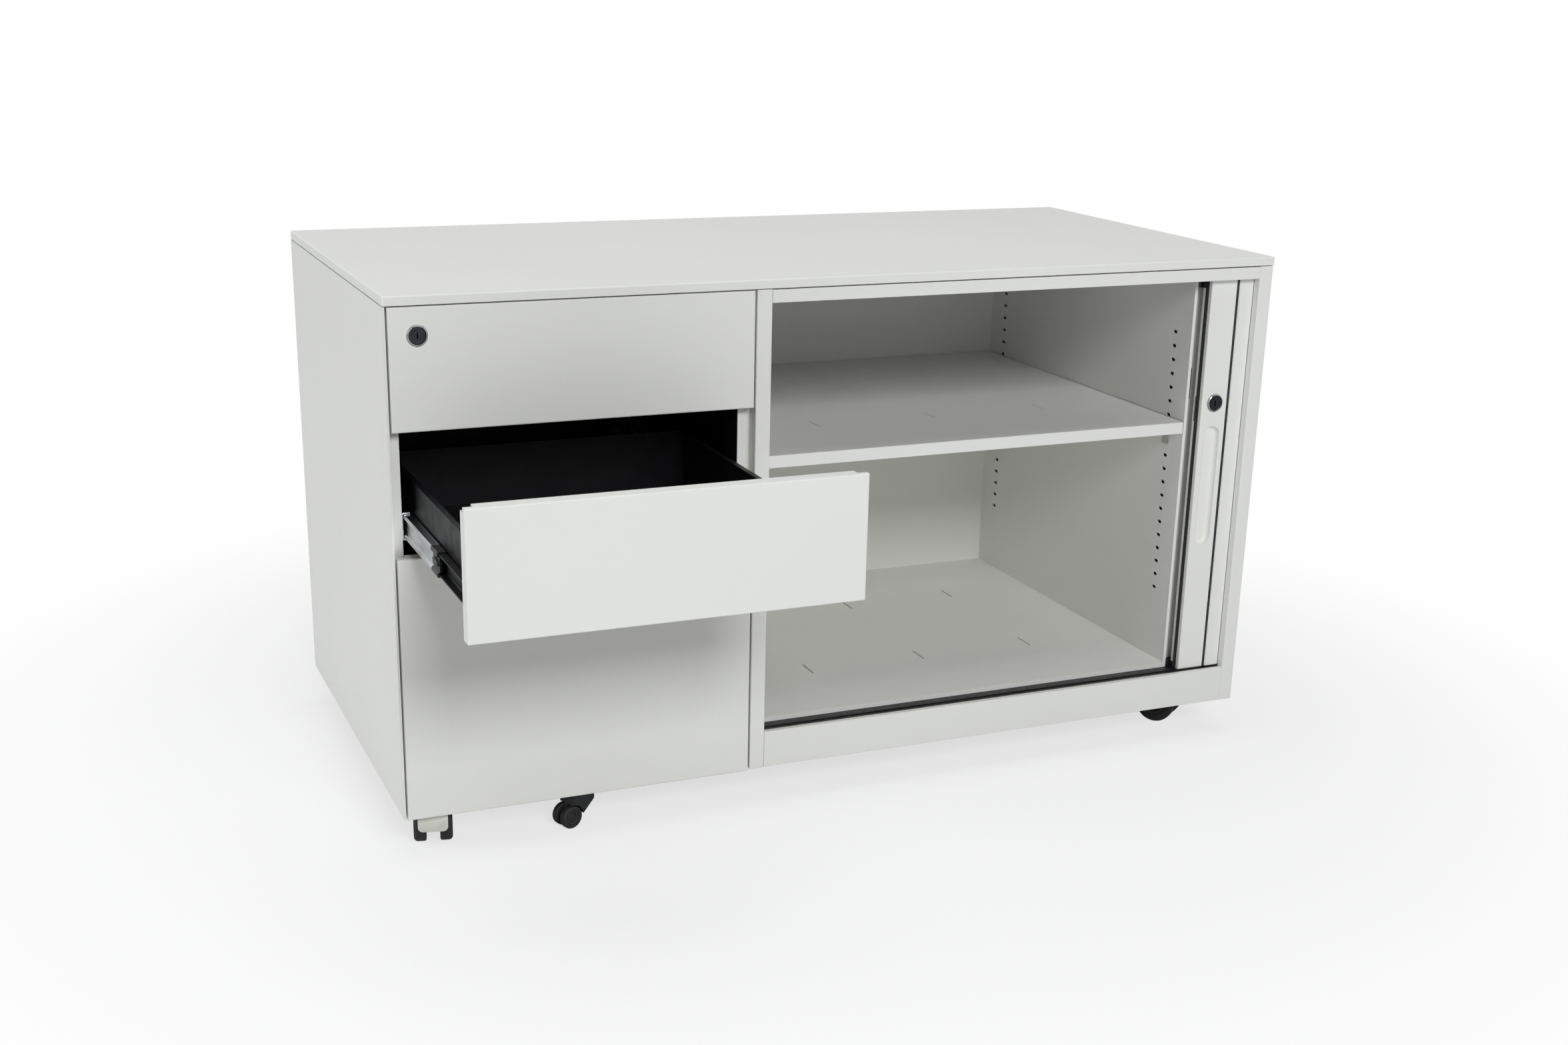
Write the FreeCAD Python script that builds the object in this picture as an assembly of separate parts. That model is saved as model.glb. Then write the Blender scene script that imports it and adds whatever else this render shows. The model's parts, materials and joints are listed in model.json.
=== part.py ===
"""Mobile pedestal of folded steel: three drawers beside a tambour cupboard, on castors.

Millimetres, +Z up, the floor at Z = 0, the carcass centred on X and Y, its front towards -Y.
Depths are measured back from the front plane of the carcass and turned into Y by at().
"""
import math
import os

import FreeCAD
import Part

V = FreeCAD.Vector

# Overall sizes
WIDTH = 1080.0
DEPTH = 525.0
HEIGHT = 615.0
TOP_THICK = 10.0
TOP_NOSE = 1.5
BODY_BOTTOM = 46.0
SHEET = 1.2
SHADOW_GAP = 1.0
FRONT_GAP = 1.5
SLIDE_FIT = 0.4
RUN_GAP = 1.0
BEND = 1.5

# Carcass
SIDE_HEM_DEPTH = 12.0
SIDE_FLANGE = 12.0
POST_FACE = 18.0
POST_RETURN = 10.5
DIVIDER_LEFT = -134.5
DIVIDER_THICK = 18.0
TOP_RAIL_FACE = 14.5
RAIL_LEDGE = 6.5
PLINTH_FACE = 44.0
PLINTH_FOOT = 12.0
BASE_HEIGHT = 60.0
BASE_SHEET = 2.0
BASE_FRONT = 20.0
BASE_FLANGE = 18.0
STIFFENER_WIDTH = 60.0
STIFFENER_LIP = 14.0
STIFFENER_DEPTHS = (70.0, 262.0, 454.0)

# Cupboard
FLOOR_RISE = 5.5
INSIDE_FRONT = 30.0
LINER_FACE = 452.0
LINER_LIP = 4.0
LINER_STEP = 11.0
LINER_FLANGE = 16.0
SHELF_DROP = 193.0
SHELF_THICK = 14.5
SHELF_LIP = 12.0
SHELF_GAP = 1.5
HOLE_COUNT = 20
HOLE_PITCH = 17.35
HOLE_DROP = 86.6
HOLE_LENGTH = 8.0
HOLE_WIDTH = 4.0
HOLE_FRONT_DEPTH = 65.0
HOLE_REAR_DEPTH = 483.0
CLIP_REACH = 10.0
CLIP_WIDTH = 14.0
CLIP_DROP = 12.0
CLIP_SHEET = 2.0
DIVIDER_SLOT_LENGTH = 34.0
DIVIDER_SLOT_WIDTH = 1.6
DIVIDER_SLOT_PITCH = 156.0
DIVIDER_SLOT_DEPTHS = (165.0, 382.0)
KEEPER_SLOT_HEIGHT = 38.0
KEEPER_SLOT_WIDTH = 3.0

# Tambour
TRACK_LINE = 13.5
TRACK_OUTER = 7.0
TRACK_INNER = 15.5
TRACK_HEIGHT = 9.0
TRACK_SEAM = 230.0
TRACK_SEAM_GAP = 0.5
GROOVE = 5.0
GROOVE_DEPTH = 6.0
FRONT_BEND_RADIUS = 26.0
SIDE_RUN_GAP = 7.8
REAR_BEND_RADIUS = 30.0
REAR_TURN_DEPTH = 462.0
STILE_LEFT = 462.0
STILE_WIDTH = 36.5
STILE_DEPTH = 17.5
STILE_WALL = 1.5
STILE_FACE_DEPTH = 11.0
SHOE_LENGTH = 30.0
SHOE_FIT = 0.3
STRIP_WIDTH = 5.5
STRIP_THICK = 1.0
PULL_DROP = 29.3
PULL_LENGTH = 152.0
PULL_WIDTH = 22.0
PULL_DEPTH = 7.0
SLAT_PITCH = 18.5
SLAT_GAP = 0.6
SLAT_THICK = 5.0
SLAT_TONGUE = 8.0
SLAT_TONGUE_THICK = 3.0
SLAT_START_GAP = 3.0

# Drawers
DRAWER_GAP = 3.0
SIDE_REVEAL = 2.0
FRONT_DEPTH = 16.0
FRONT_LIP = 10.0
FRONT_SEAT = 6.0
FRONT_NOTCH = 10.0
FRONT_NOTCH_DEPTH = 9.0
FRONT_1_HEIGHT = 128.8
FRONT_2_HEIGHT = 128.4
FRONT_3_DROP = 2.0
UPRIGHT_DEPTH = 18.0
UPRIGHT_FACE = 14.0
UPRIGHT_RETURN = 40.0
REAR_UPRIGHT_DEPTH = 420.0
TRAY_SHEET = 1.2
TRAY_LENGTH = 430.0
TRAY_RISE = 8.0
TRAY_HEIGHT = 67.0
TRAY_HEM = 6.0
FILE_TRAY_GAP = 8.0
FILE_HEADROOM = 45.3
FILE_RAIL_THICK = 3.0
FILE_RAIL_HEIGHT = 12.0
SLIDE_SPACE = 12.7
SLIDE_HEIGHT = 30.0
SLIDE_SHEET = 1.4
SLIDE_BEND = 1.2
SLIDE_LENGTH = 420.0
SLIDE_FRONT = 20.0
SLIDE_RISE = 27.0
FILE_SLIDE_RISE = 130.0
STOP_LENGTH = 26.0
CABINET_LIP = 9.0
DRAWER_2_OPEN = 293.0

# Locks
LOCK_1_INSET = 29.9
LOCK_1_DROP = 29.4
LOCK_2_DROP = 155.0
LOCK_FLANGE = 11.0
LOCK_FLANGE_THICK = 2.5
LOCK_BARREL = 8.5
LOCK_PLUG = 6.0
LOCK_FIT = 0.08
LOCK_1_LENGTH = 22.0
LOCK_2_LENGTH = 13.5
KEYWAY_WIDTH = 1.6
KEYWAY_HEIGHT = 7.0
KEYWAY_DEPTH = 6.0
CAM_LENGTH = 23.0
CAM_WIDTH = 11.0
CAM_THICK = 2.0
BOLT_LENGTH = 28.0
BOLT_SLOT_FIT = 1.5
STRIKE_DEPTH = 7.0
LOCK_BAR_DEPTH = 44.0
LOCK_BAR_THICK = 3.0
LOCK_BAR_WIDTH = 9.0
LOCK_BAR_HOOK = 8.0
LOCK_BAR_DROP = 6.0

# Castors
CASTOR_INSET = 45.0
CASTOR_DEPTH = 60.0
CASTOR_WHEEL = 25.0
CASTOR_WHEEL_WIDTH = 14.0
CASTOR_WHEEL_GAP = 15.0
CASTOR_TRAIL = 20.0
CASTOR_STEM = 4.0
FIFTH_WHEEL = 13.5
FIFTH_WHEEL_WIDTH = 8.0
FIFTH_WHEEL_GAP = 7.0
FIFTH_TRAIL = 15.0
FIFTH_STEM = 3.2
FIFTH_DEPTH = 24.5
FIFTH_CLEAR = 0.5
FIFTH_UNDER = 1.5
FIFTH_COLLAR = 6.5
FIFTH_PLATE = 28.0
FIFTH_HEAD = 15.0
FIFTH_HEAD_HEIGHT = 12.0
PLATE_THICK = 3.0
CASTOR_PLATE = 42.0
SWIVEL_GAP = 0.5
AXLE = 3.0
HOOD_GAP = 1.3
HOOD_THICK = 2.7
BRAKE_WIDTH = 33.0
BRAKE_SPAN = 42.0
BRAKE_TOP_ANGLE = 34.0
BRACKET_WIDTH = 90.0
BRACKET_LENGTH = 80.0
BRACKET_SHEET = 2.0
NOTCH_GAP = 8.0
CASTOR_TURNS = {"fl": -103.0, "fr": 127.0, "rl": 60.0, "rr": 120.0, "mid": 200.0}

# Places that follow from the sizes above
HALF = WIDTH / 2
FRONT_Y = -DEPTH / 2 + TOP_NOSE
BODY_DEPTH = DEPTH - TOP_NOSE
TOP_UNDER = HEIGHT - TOP_THICK
BODY_TOP = TOP_UNDER - SHADOW_GAP
FACE_TOP = TOP_UNDER - FRONT_GAP
INSIDE = HALF - SHEET
DIVIDER_RIGHT = DIVIDER_LEFT + DIVIDER_THICK
BACK_FACE = BODY_DEPTH - 2 * SHEET
BASE_TOP = BASE_HEIGHT + BASE_SHEET
RAIL_BOTTOM = FACE_TOP - TOP_RAIL_FACE
PLINTH_TOP = BODY_BOTTOM + PLINTH_FACE
TRACK_TOP = PLINTH_TOP
FLOOR_TOP = TRACK_TOP + FLOOR_RISE
SHELF_TOP = BODY_TOP - SHELF_DROP
HOLE_TOP = BODY_TOP - HOLE_DROP
POST_INNER = HALF - POST_FACE
TOP_TRACK_TOP = FACE_TOP - SHEET
TOP_TRACK_BOTTOM = TOP_TRACK_TOP - TRACK_HEIGHT
STILE_BOTTOM = TRACK_TOP + RUN_GAP
STILE_TOP = TOP_TRACK_BOTTOM - RUN_GAP
STILE_RIGHT = STILE_LEFT + STILE_WIDTH
STILE_BACK = STILE_FACE_DEPTH + STILE_DEPTH
TAMBOUR_TRAVEL = STILE_LEFT - STRIP_THICK - DIVIDER_RIGHT - RUN_GAP
LOCK_2_X = STILE_LEFT + STILE_WIDTH / 2
LOCK_2_HEIGHT = STILE_TOP - LOCK_2_DROP
PULL_TOP = LOCK_2_HEIGHT - PULL_DROP
BOLT_DEPTH = STILE_FACE_DEPTH + LOCK_2_LENGTH
CAM_DEPTH = LOCK_1_LENGTH
SIDE_RUN_X = INSIDE - SIDE_RUN_GAP
RETURN_RUN_X = SIDE_RUN_X - 2 * REAR_BEND_RADIUS
CURTAIN_START_X = STILE_RIGHT + SLAT_START_GAP
BAY_LEFT = -INSIDE + UPRIGHT_FACE
BAY_RIGHT = DIVIDER_LEFT - UPRIGHT_FACE
TRAY_LEFT = BAY_LEFT + SLIDE_SPACE
TRAY_RIGHT = BAY_RIGHT - SLIDE_SPACE
FRONT_LEFT = -HALF + 2 * SHEET + SIDE_REVEAL
FRONT_RIGHT = DIVIDER_LEFT - SIDE_REVEAL
DRAWER_MIDDLE = (FRONT_LEFT + FRONT_RIGHT) / 2
FRONT_1_TOP = FACE_TOP
FRONT_1_BOTTOM = FRONT_1_TOP - FRONT_1_HEIGHT
FRONT_2_TOP = FRONT_1_BOTTOM - DRAWER_GAP
FRONT_2_BOTTOM = FRONT_2_TOP - FRONT_2_HEIGHT
FRONT_3_TOP = FRONT_2_BOTTOM - DRAWER_GAP
FRONT_3_BOTTOM = BODY_BOTTOM - FRONT_3_DROP
FILE_TRAY_BOTTOM = BASE_TOP + FILE_TRAY_GAP
FILE_TRAY_HEIGHT = FRONT_3_TOP - FILE_HEADROOM - FILE_TRAY_BOTTOM
FILE_SLIDE_HEIGHT = FILE_TRAY_BOTTOM + FILE_SLIDE_RISE
LOCK_1_X = FRONT_LEFT + LOCK_1_INSET
LOCK_1_HEIGHT = FRONT_1_TOP - LOCK_1_DROP
STEM_TOP = BASE_HEIGHT - PLATE_THICK
BOLT_TIP = math.hypot(BOLT_LENGTH, CAM_WIDTH / 2)
BOLT_SWEEP = math.sqrt(BOLT_TIP ** 2 - (STILE_WIDTH / 2 - STILE_WALL) ** 2)
BOLT_SLOT = (LOCK_2_HEIGHT - BOLT_SWEEP - BOLT_SLOT_FIT, LOCK_2_HEIGHT + CAM_WIDTH / 2 + BOLT_SLOT_FIT)


def at(depth):
    """Y of a point that lies the given depth behind the front plane."""
    return FRONT_Y + depth


def block(x, depth, z):
    """A box from three (low, high) pairs, with its depth measured from the front plane."""
    size = [high - low for low, high in (x, depth, z)]
    return Part.makeBox(*size, V(x[0], at(depth[0]), z[0]))


def joined(shapes):
    """Fuse shapes that meet into one clean solid."""
    return shapes[0].multiFuse(shapes[1:]).removeSplitter()


def pan(x, depth, z, wall, open_side):
    """A tray of sheet: a box hollowed out to its wall and open towards one side."""
    spans = {"x": list(x), "depth": list(depth), "z": list(z)}
    inner = {key: [low + wall, high - wall] for key, (low, high) in spans.items()}
    axis, end = open_side[1:], 0 if open_side[0] == "-" else 1
    inner[axis][end] = spans[axis][end] + (wall if end else -wall)
    return block(x, depth, z).cut(block(inner["x"], inner["depth"], inner["z"]))


def folded(points, thickness, place, along):
    """A folded sheet: an open outline of (u, v) points, thickened to its left and drawn out."""
    def left_of(a, b):
        length = math.dist(a, b)
        return (-(b[1] - a[1]) / length, (b[0] - a[0]) / length)

    normals = [left_of(a, b) for a, b in zip(points, points[1:])]
    inner = []
    for number, (u, v) in enumerate(points):
        before = normals[max(number - 1, 0)]
        after = normals[min(number, len(normals) - 1)]
        reach = thickness / (1 + before[0] * after[0] + before[1] * after[1])
        inner.append((u + reach * (before[0] + after[0]), v + reach * (before[1] + after[1])))
    outline = [place(*p) for p in points + inner[::-1]]
    return Part.Face(Part.makePolygon(outline + outline[:1])).extrude(along)


def plan(u, v, z=0.0):
    """A point of a plan outline: u along X, v the depth."""
    return V(u, at(v), z)


def rounded(shape, radius, picks, along=None):
    """Round the straight edges whose ends satisfy a test, only those along a direction if one is given."""
    edges = []
    for edge in shape.Edges:
        ends = [v.Point for v in edge.Vertexes]
        if len(ends) == 2 and all(picks(p) for p in ends):
            if along is None or (ends[1] - ends[0]).cross(along).Length < 1e-6:
                edges.append(edge)
    return shape.makeFillet(radius, edges)


def rod(x, depth, z, radius, length):
    """A round bar that runs back from the given depth."""
    return Part.makeCylinder(radius, length, V(x, at(depth), z), V(0, 1, 0))


def wall_slot(x, depth, z, wall):
    """A round-ended cutter for a shelf slot in an upright wall."""
    half, run = HOLE_WIDTH / 2, HOLE_LENGTH - HOLE_WIDTH
    ends = [Part.makeCylinder(half, wall, V(x, at(depth + s * run / 2), z), V(1, 0, 0)) for s in (-1, 1)]
    middle = block((x, x + wall), (depth - run / 2, depth + run / 2), (z - half, z + half))
    return joined([middle] + ends)


def shelf_slots(x, wall):
    """All the shelf slots of one wall, in a front and a rear column."""
    heights = [HOLE_TOP - k * HOLE_PITCH for k in range(HOLE_COUNT)]
    depths = (HOLE_FRONT_DEPTH, HOLE_REAR_DEPTH)
    return Part.makeCompound([wall_slot(x, d, z, wall) for d in depths for z in heights])


def plate_slots(z, thickness):
    """The narrow slots in the cupboard floor and the shelf that hold loose dividers."""
    middle = (DIVIDER_RIGHT + LINER_FACE) / 2
    cutters = []
    for depth in DIVIDER_SLOT_DEPTHS:
        for column in (-1, 0, 1):
            x = middle + column * DIVIDER_SLOT_PITCH
            half = DIVIDER_SLOT_WIDTH / 2
            span = (depth - DIVIDER_SLOT_LENGTH / 2, depth + DIVIDER_SLOT_LENGTH / 2)
            cutters.append(block((x - half, x + half), span, (z - thickness, z + thickness)))
    return Part.makeCompound(cutters)


# Carcass

def top_panel():
    """The top sheet with its turned-down edges, softened round the rim and at the corners."""
    depth = (-TOP_NOSE, BODY_DEPTH)
    slab = block((-HALF, HALF), depth, (TOP_UNDER, HEIGHT))
    slab = slab.makeFillet(BEND, [e for e in slab.Edges if e.BoundBox.ZMax > TOP_UNDER + BEND])
    inner_depth = (depth[0] + SHEET, depth[1] - SHEET)
    return slab.cut(block((-INSIDE, INSIDE), inner_depth, (TOP_UNDER - SHEET, HEIGHT - SHEET)))


def top_stiffeners():
    """Hat channels that stand on the sides' and the divider's top flanges and carry the top."""
    hats = []
    for depth in STIFFENER_DEPTHS:
        half, rise = STIFFENER_WIDTH / 2, HEIGHT - SHEET - BODY_TOP
        outline = [(-half - STIFFENER_LIP, 0.0), (-half, 0.0), (-half, rise - SHEET), (half, rise - SHEET),
                   (half, 0.0), (half + STIFFENER_LIP, 0.0)]
        reach = HALF - 2 * SHEET
        hats.append(folded(outline, SHEET, lambda u, v, d=depth: V(-reach, at(d + u), BODY_TOP + v),
                           V(2 * reach, 0, 0)))
    return Part.makeCompound(hats)


def side_flanges(sign):
    """The top and back flanges of a side, turned in."""
    inner, outer = INSIDE - SIDE_FLANGE, INSIDE
    x = (inner, outer) if sign > 0 else (-outer, -inner)
    top = block(x, (UPRIGHT_DEPTH + SHEET, BODY_DEPTH), (BODY_TOP - SHEET, BODY_TOP))
    back = block(x, (BODY_DEPTH - SHEET, BODY_DEPTH), (BODY_BOTTOM, BODY_TOP))
    return [top, back]


def left_side():
    tall = (BODY_BOTTOM, BODY_TOP)
    wall = block((-HALF, -INSIDE), (0, BODY_DEPTH), tall)
    hem = block((-INSIDE, -INSIDE + SHEET), (0, SIDE_HEM_DEPTH), tall)
    return joined([wall, hem] + side_flanges(-1))


def right_side():
    outline = [(POST_INNER, POST_RETURN), (POST_INNER, 0.0), (HALF, 0.0), (HALF, BODY_DEPTH)]
    skin = folded(outline, SHEET, lambda u, v: plan(u, v, BODY_BOTTOM), V(0, 0, BODY_TOP - BODY_BOTTOM))
    skin = rounded(skin, BEND, lambda p: abs(p.y - at(0)) < 1e-6 and p.x > 0, V(0, 0, 1))
    return joined([skin] + side_flanges(1))


def back_panel():
    z = (BASE_TOP, BODY_TOP - SHEET)
    return block((-INSIDE, INSIDE), (BACK_FACE, BACK_FACE + SHEET), z)


def base_panel():
    """The floor plate over the castors, notched for the file drawer's own castor and the divider's post."""
    bay = block((-INSIDE, DIVIDER_LEFT), (BASE_FRONT, BACK_FACE), (BASE_HEIGHT, BASE_TOP))
    hall = block((DIVIDER_LEFT, INSIDE), (SHEET, BACK_FACE), (BASE_HEIGHT, BASE_TOP))
    corner = block((POST_INNER, INSIDE), (SHEET, POST_RETURN + RUN_GAP), (BASE_HEIGHT, BASE_TOP))
    hall = hall.cut(corner)
    rise = (BASE_TOP, BASE_TOP + BASE_FLANGE)
    flanges = [block((-INSIDE, -INSIDE + BASE_SHEET), (BASE_FRONT, BACK_FACE), rise),
               block((INSIDE - BASE_SHEET, INSIDE), (POST_RETURN + RUN_GAP, BACK_FACE), rise)]
    half = BRACKET_WIDTH / 2 + NOTCH_GAP
    notch = block((DRAWER_MIDDLE - half, DRAWER_MIDDLE + half),
                  (BASE_FRONT, FRONT_DEPTH + BRACKET_LENGTH + NOTCH_GAP), (BASE_HEIGHT, BASE_TOP))
    post = block((DIVIDER_LEFT, DIVIDER_RIGHT), (0, BASE_FRONT), (BASE_HEIGHT, BASE_TOP))
    return joined([bay, hall] + flanges).cut(notch).cut(post)


def divider():
    """A hollow wall of one folded sheet: its front edge is the post between the bays."""
    outline = [(DIVIDER_LEFT, BACK_FACE), (DIVIDER_LEFT, 0.0), (DIVIDER_RIGHT, 0.0),
               (DIVIDER_RIGHT, BACK_FACE)]
    wall = folded(outline, SHEET, lambda u, v: plan(u, v, BASE_TOP), V(0, 0, BODY_TOP - BASE_TOP))
    wall = rounded(wall, BEND, lambda p: abs(p.y - at(0)) < 1e-6, V(0, 0, 1))
    foot_outline = [(DIVIDER_LEFT, BASE_FRONT - RUN_GAP), (DIVIDER_LEFT, 0.0), (DIVIDER_RIGHT, 0.0),
                    (DIVIDER_RIGHT, BASE_FRONT - RUN_GAP)]
    foot = folded(foot_outline, SHEET, lambda u, v: plan(u, v, BODY_BOTTOM), V(0, 0, BASE_TOP - BODY_BOTTOM))
    foot = rounded(foot, BEND, lambda p: abs(p.y - at(0)) < 1e-6, V(0, 0, 1))
    strike = block((DIVIDER_RIGHT - 2 * SHEET, DIVIDER_RIGHT + SHEET),
                   (BOLT_DEPTH - STRIKE_DEPTH / 2, BOLT_DEPTH + STRIKE_DEPTH), BOLT_SLOT)
    holes = shelf_slots(DIVIDER_RIGHT - 2 * SHEET, 3 * SHEET)
    return joined([wall, foot]).cut(strike).cut(holes)


def top_rail():
    outline = [(BASE_FRONT, FACE_TOP), (0.0, FACE_TOP), (0.0, RAIL_BOTTOM), (RAIL_LEDGE, RAIL_BOTTOM)]
    place = lambda u, v: V(DIVIDER_RIGHT, at(u), v)
    rail = folded(outline, SHEET, place, V(POST_INNER - DIVIDER_RIGHT, 0, 0))
    return rounded(rail, SHEET / 2, lambda p: abs(p.y - at(0)) < 1e-6, V(1, 0, 0))


def plinth():
    outline = [(RAIL_LEDGE, PLINTH_TOP), (0.0, PLINTH_TOP), (0.0, BODY_BOTTOM), (PLINTH_FOOT, BODY_BOTTOM)]
    place = lambda u, v: V(DIVIDER_RIGHT, at(u), v)
    rail = folded(outline, SHEET, place, V(POST_INNER - DIVIDER_RIGHT, 0, 0))
    return rounded(rail, SHEET / 2, lambda p: abs(p.y - at(0)) < 1e-6, V(1, 0, 0))


def cupboard_floor():
    """A deep upturned pan that stands on the base plate; its front edge stops behind the track."""
    front = TRACK_LINE + TRACK_INNER
    shell = pan((DIVIDER_RIGHT, LINER_FACE), (front, BACK_FACE), (BASE_TOP, FLOOR_TOP), SHEET, "-z")
    return shell.cut(plate_slots(FLOOR_TOP, 2 * SHEET))


def right_liner():
    """The cupboard's right wall: a lip at its front edge and a flange set back behind the lead stile."""
    front = INSIDE_FRONT + RUN_GAP
    inner, back = LINER_FACE + LINER_LIP, front + LINER_STEP
    outline = [(LINER_FACE, BACK_FACE), (LINER_FACE, front), (inner, front), (inner, back),
               (inner + LINER_FLANGE, back)]
    tall = BODY_TOP - SHEET - BASE_TOP
    skin = folded(outline, SHEET, lambda u, v: plan(u, v, BASE_TOP), V(0, 0, tall))
    low, high = LOCK_2_HEIGHT, LOCK_2_HEIGHT + KEEPER_SLOT_HEIGHT
    x = inner + LINER_FLANGE / 2
    half = KEEPER_SLOT_WIDTH / 2
    keeper = block((x - half, x + half), (back - 2 * SHEET, back + 2 * SHEET), (low, high))
    return skin.cut(shelf_slots(LINER_FACE - SHEET, 3 * SHEET)).cut(keeper)


def shelf():
    x = (DIVIDER_RIGHT + SHELF_GAP, LINER_FACE - SHELF_GAP)
    depth = (INSIDE_FRONT, BACK_FACE - SHELF_GAP)
    z = (SHELF_TOP - SHELF_THICK, SHELF_TOP)
    shell = pan(x, depth, z, SHEET, "-z")
    front_lip = block(x, (depth[0], depth[0] + SHELF_LIP), (z[0], z[0] + SHEET))
    rear_lip = block(x, (depth[1] - SHELF_LIP, depth[1]), (z[0], z[0] + SHEET))
    board = joined([shell, front_lip, rear_lip]).cut(plate_slots(SHELF_TOP, 2 * SHEET))
    return rounded(board, SHEET / 2, lambda p: abs(p.y - at(depth[0])) < 1e-6, V(1, 0, 0))


def shelf_clips():
    """Four angle clips, each with a tongue through a shelf slot."""
    under = SHELF_TOP - SHELF_THICK
    below = [HOLE_TOP - k * HOLE_PITCH for k in range(HOLE_COUNT)]
    hole = max(z for z in below if z < under - CLIP_SHEET)
    clips = []
    for depth in (HOLE_FRONT_DEPTH, HOLE_REAR_DEPTH):
        for wall, sign in ((DIVIDER_RIGHT, 1), (LINER_FACE, -1)):
            def span(low, high):
                return tuple(sorted((wall + sign * low, wall + sign * high)))
            across = (depth - CLIP_WIDTH / 2, depth + CLIP_WIDTH / 2)
            seat = block(span(0, CLIP_REACH), across, (under - CLIP_SHEET, under))
            leg = block(span(0, CLIP_SHEET), across, (min(hole, under - CLIP_DROP) - CLIP_SHEET, under))
            half = (HOLE_LENGTH - HOLE_WIDTH) / 2
            tongue = block(span(-2 * SHEET, CLIP_SHEET), (depth - half, depth + half), (hole - 1, hole + 1))
            clips.append(joined([seat, leg, tongue]))
    return Part.makeCompound(clips)


# Tambour

def track_path(start_x):
    """The line of the tambour as straight and round stretches, in plan (X, depth)."""
    bend_y = TRACK_LINE + FRONT_BEND_RADIUS
    return [("line", (start_x, TRACK_LINE), (SIDE_RUN_X - FRONT_BEND_RADIUS, TRACK_LINE)),
            ("arc", (SIDE_RUN_X - FRONT_BEND_RADIUS, bend_y), FRONT_BEND_RADIUS, -90.0, 0.0),
            ("line", (SIDE_RUN_X, bend_y), (SIDE_RUN_X, REAR_TURN_DEPTH)),
            ("arc", (SIDE_RUN_X - REAR_BEND_RADIUS, REAR_TURN_DEPTH), REAR_BEND_RADIUS, 0.0, 180.0),
            ("line", (RETURN_RUN_X, REAR_TURN_DEPTH), (RETURN_RUN_X, REAR_TURN_DEPTH - return_run()))]


def return_run():
    """How far the stowed curtain comes back along the liner."""
    across = SIDE_RUN_X - FRONT_BEND_RADIUS - CURTAIN_START_X
    along = REAR_TURN_DEPTH - TRACK_LINE - FRONT_BEND_RADIUS
    bends = FRONT_BEND_RADIUS * math.pi / 2 + REAR_BEND_RADIUS * math.pi
    return max(slat_count() * SLAT_PITCH - across - along - bends, SLAT_PITCH) + SLAT_PITCH


def slat_count():
    return math.ceil((TAMBOUR_TRAVEL + SLAT_PITCH) / SLAT_PITCH)


def path_length(piece):
    if piece[0] == "line":
        return math.dist(piece[1], piece[2])
    return piece[2] * math.radians(abs(piece[4] - piece[3]))


def path_point(path, s):
    """The point at a distance along the path."""
    for piece in path:
        length = path_length(piece)
        if s <= length or piece is path[-1]:
            share = s / length
            if piece[0] == "line":
                return tuple(a + share * (b - a) for a, b in zip(piece[1], piece[2]))
            turn = math.radians(piece[3] + share * (piece[4] - piece[3]))
            return (piece[1][0] + piece[2] * math.cos(turn), piece[1][1] + piece[2] * math.sin(turn))
        s -= length


def offset_edges(path, side, z):
    """The edges of the path moved sideways, positive to the outside of its bends."""
    edges = []
    for piece in path:
        if piece[0] == "line":
            (x0, y0), (x1, y1) = piece[1], piece[2]
            length = path_length(piece)
            shift = ((y1 - y0) / length * side, -(x1 - x0) / length * side)
            ends = [plan(x + shift[0], y + shift[1], z) for x, y in (piece[1], piece[2])]
            edges.append(Part.makeLine(*ends))
        else:
            radius = piece[2] + side
            turns = [math.radians(piece[3] + k * (piece[4] - piece[3])) for k in (0, 0.5, 1)]
            x, y = piece[1]
            points = [plan(x + radius * math.cos(t), y + radius * math.sin(t), z) for t in turns]
            edges.append(Part.Arc(*points).toShape())
    return edges


def band(path, outer, inner, z, height):
    """A strip of the given height along the path, between two sideways offsets."""
    one, other = offset_edges(path, outer, z), offset_edges(path, -inner, z)
    caps = [Part.makeLine(one[0].firstVertex(True).Point, other[0].firstVertex(True).Point),
            Part.makeLine(one[-1].lastVertex(True).Point, other[-1].lastVertex(True).Point)]
    wire = Part.Wire(Part.__sortEdges__(one + other + caps))
    return Part.Face(wire).extrude(V(0, 0, height))


def track(low, groove_low):
    """One guide, in two lengths with a seam, with the groove that the slats run in."""
    start = DIVIDER_RIGHT + RUN_GAP
    path = track_path(start)
    body = band(path, TRACK_OUTER, TRACK_INNER, low, TRACK_HEIGHT)
    groove = band(path, GROOVE / 2, GROOVE / 2, groove_low, GROOVE_DEPTH)
    half = TRACK_SEAM_GAP / 2
    seam = block((TRACK_SEAM - half, TRACK_SEAM + half), (0, 2 * INSIDE_FRONT), (low, low + TRACK_HEIGHT))
    return body.cut(groove).cut(seam)


def bottom_track():
    return track(TRACK_TOP - TRACK_HEIGHT, TRACK_TOP - GROOVE_DEPTH)


def top_track():
    return track(TOP_TRACK_BOTTOM, TOP_TRACK_BOTTOM)


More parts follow.
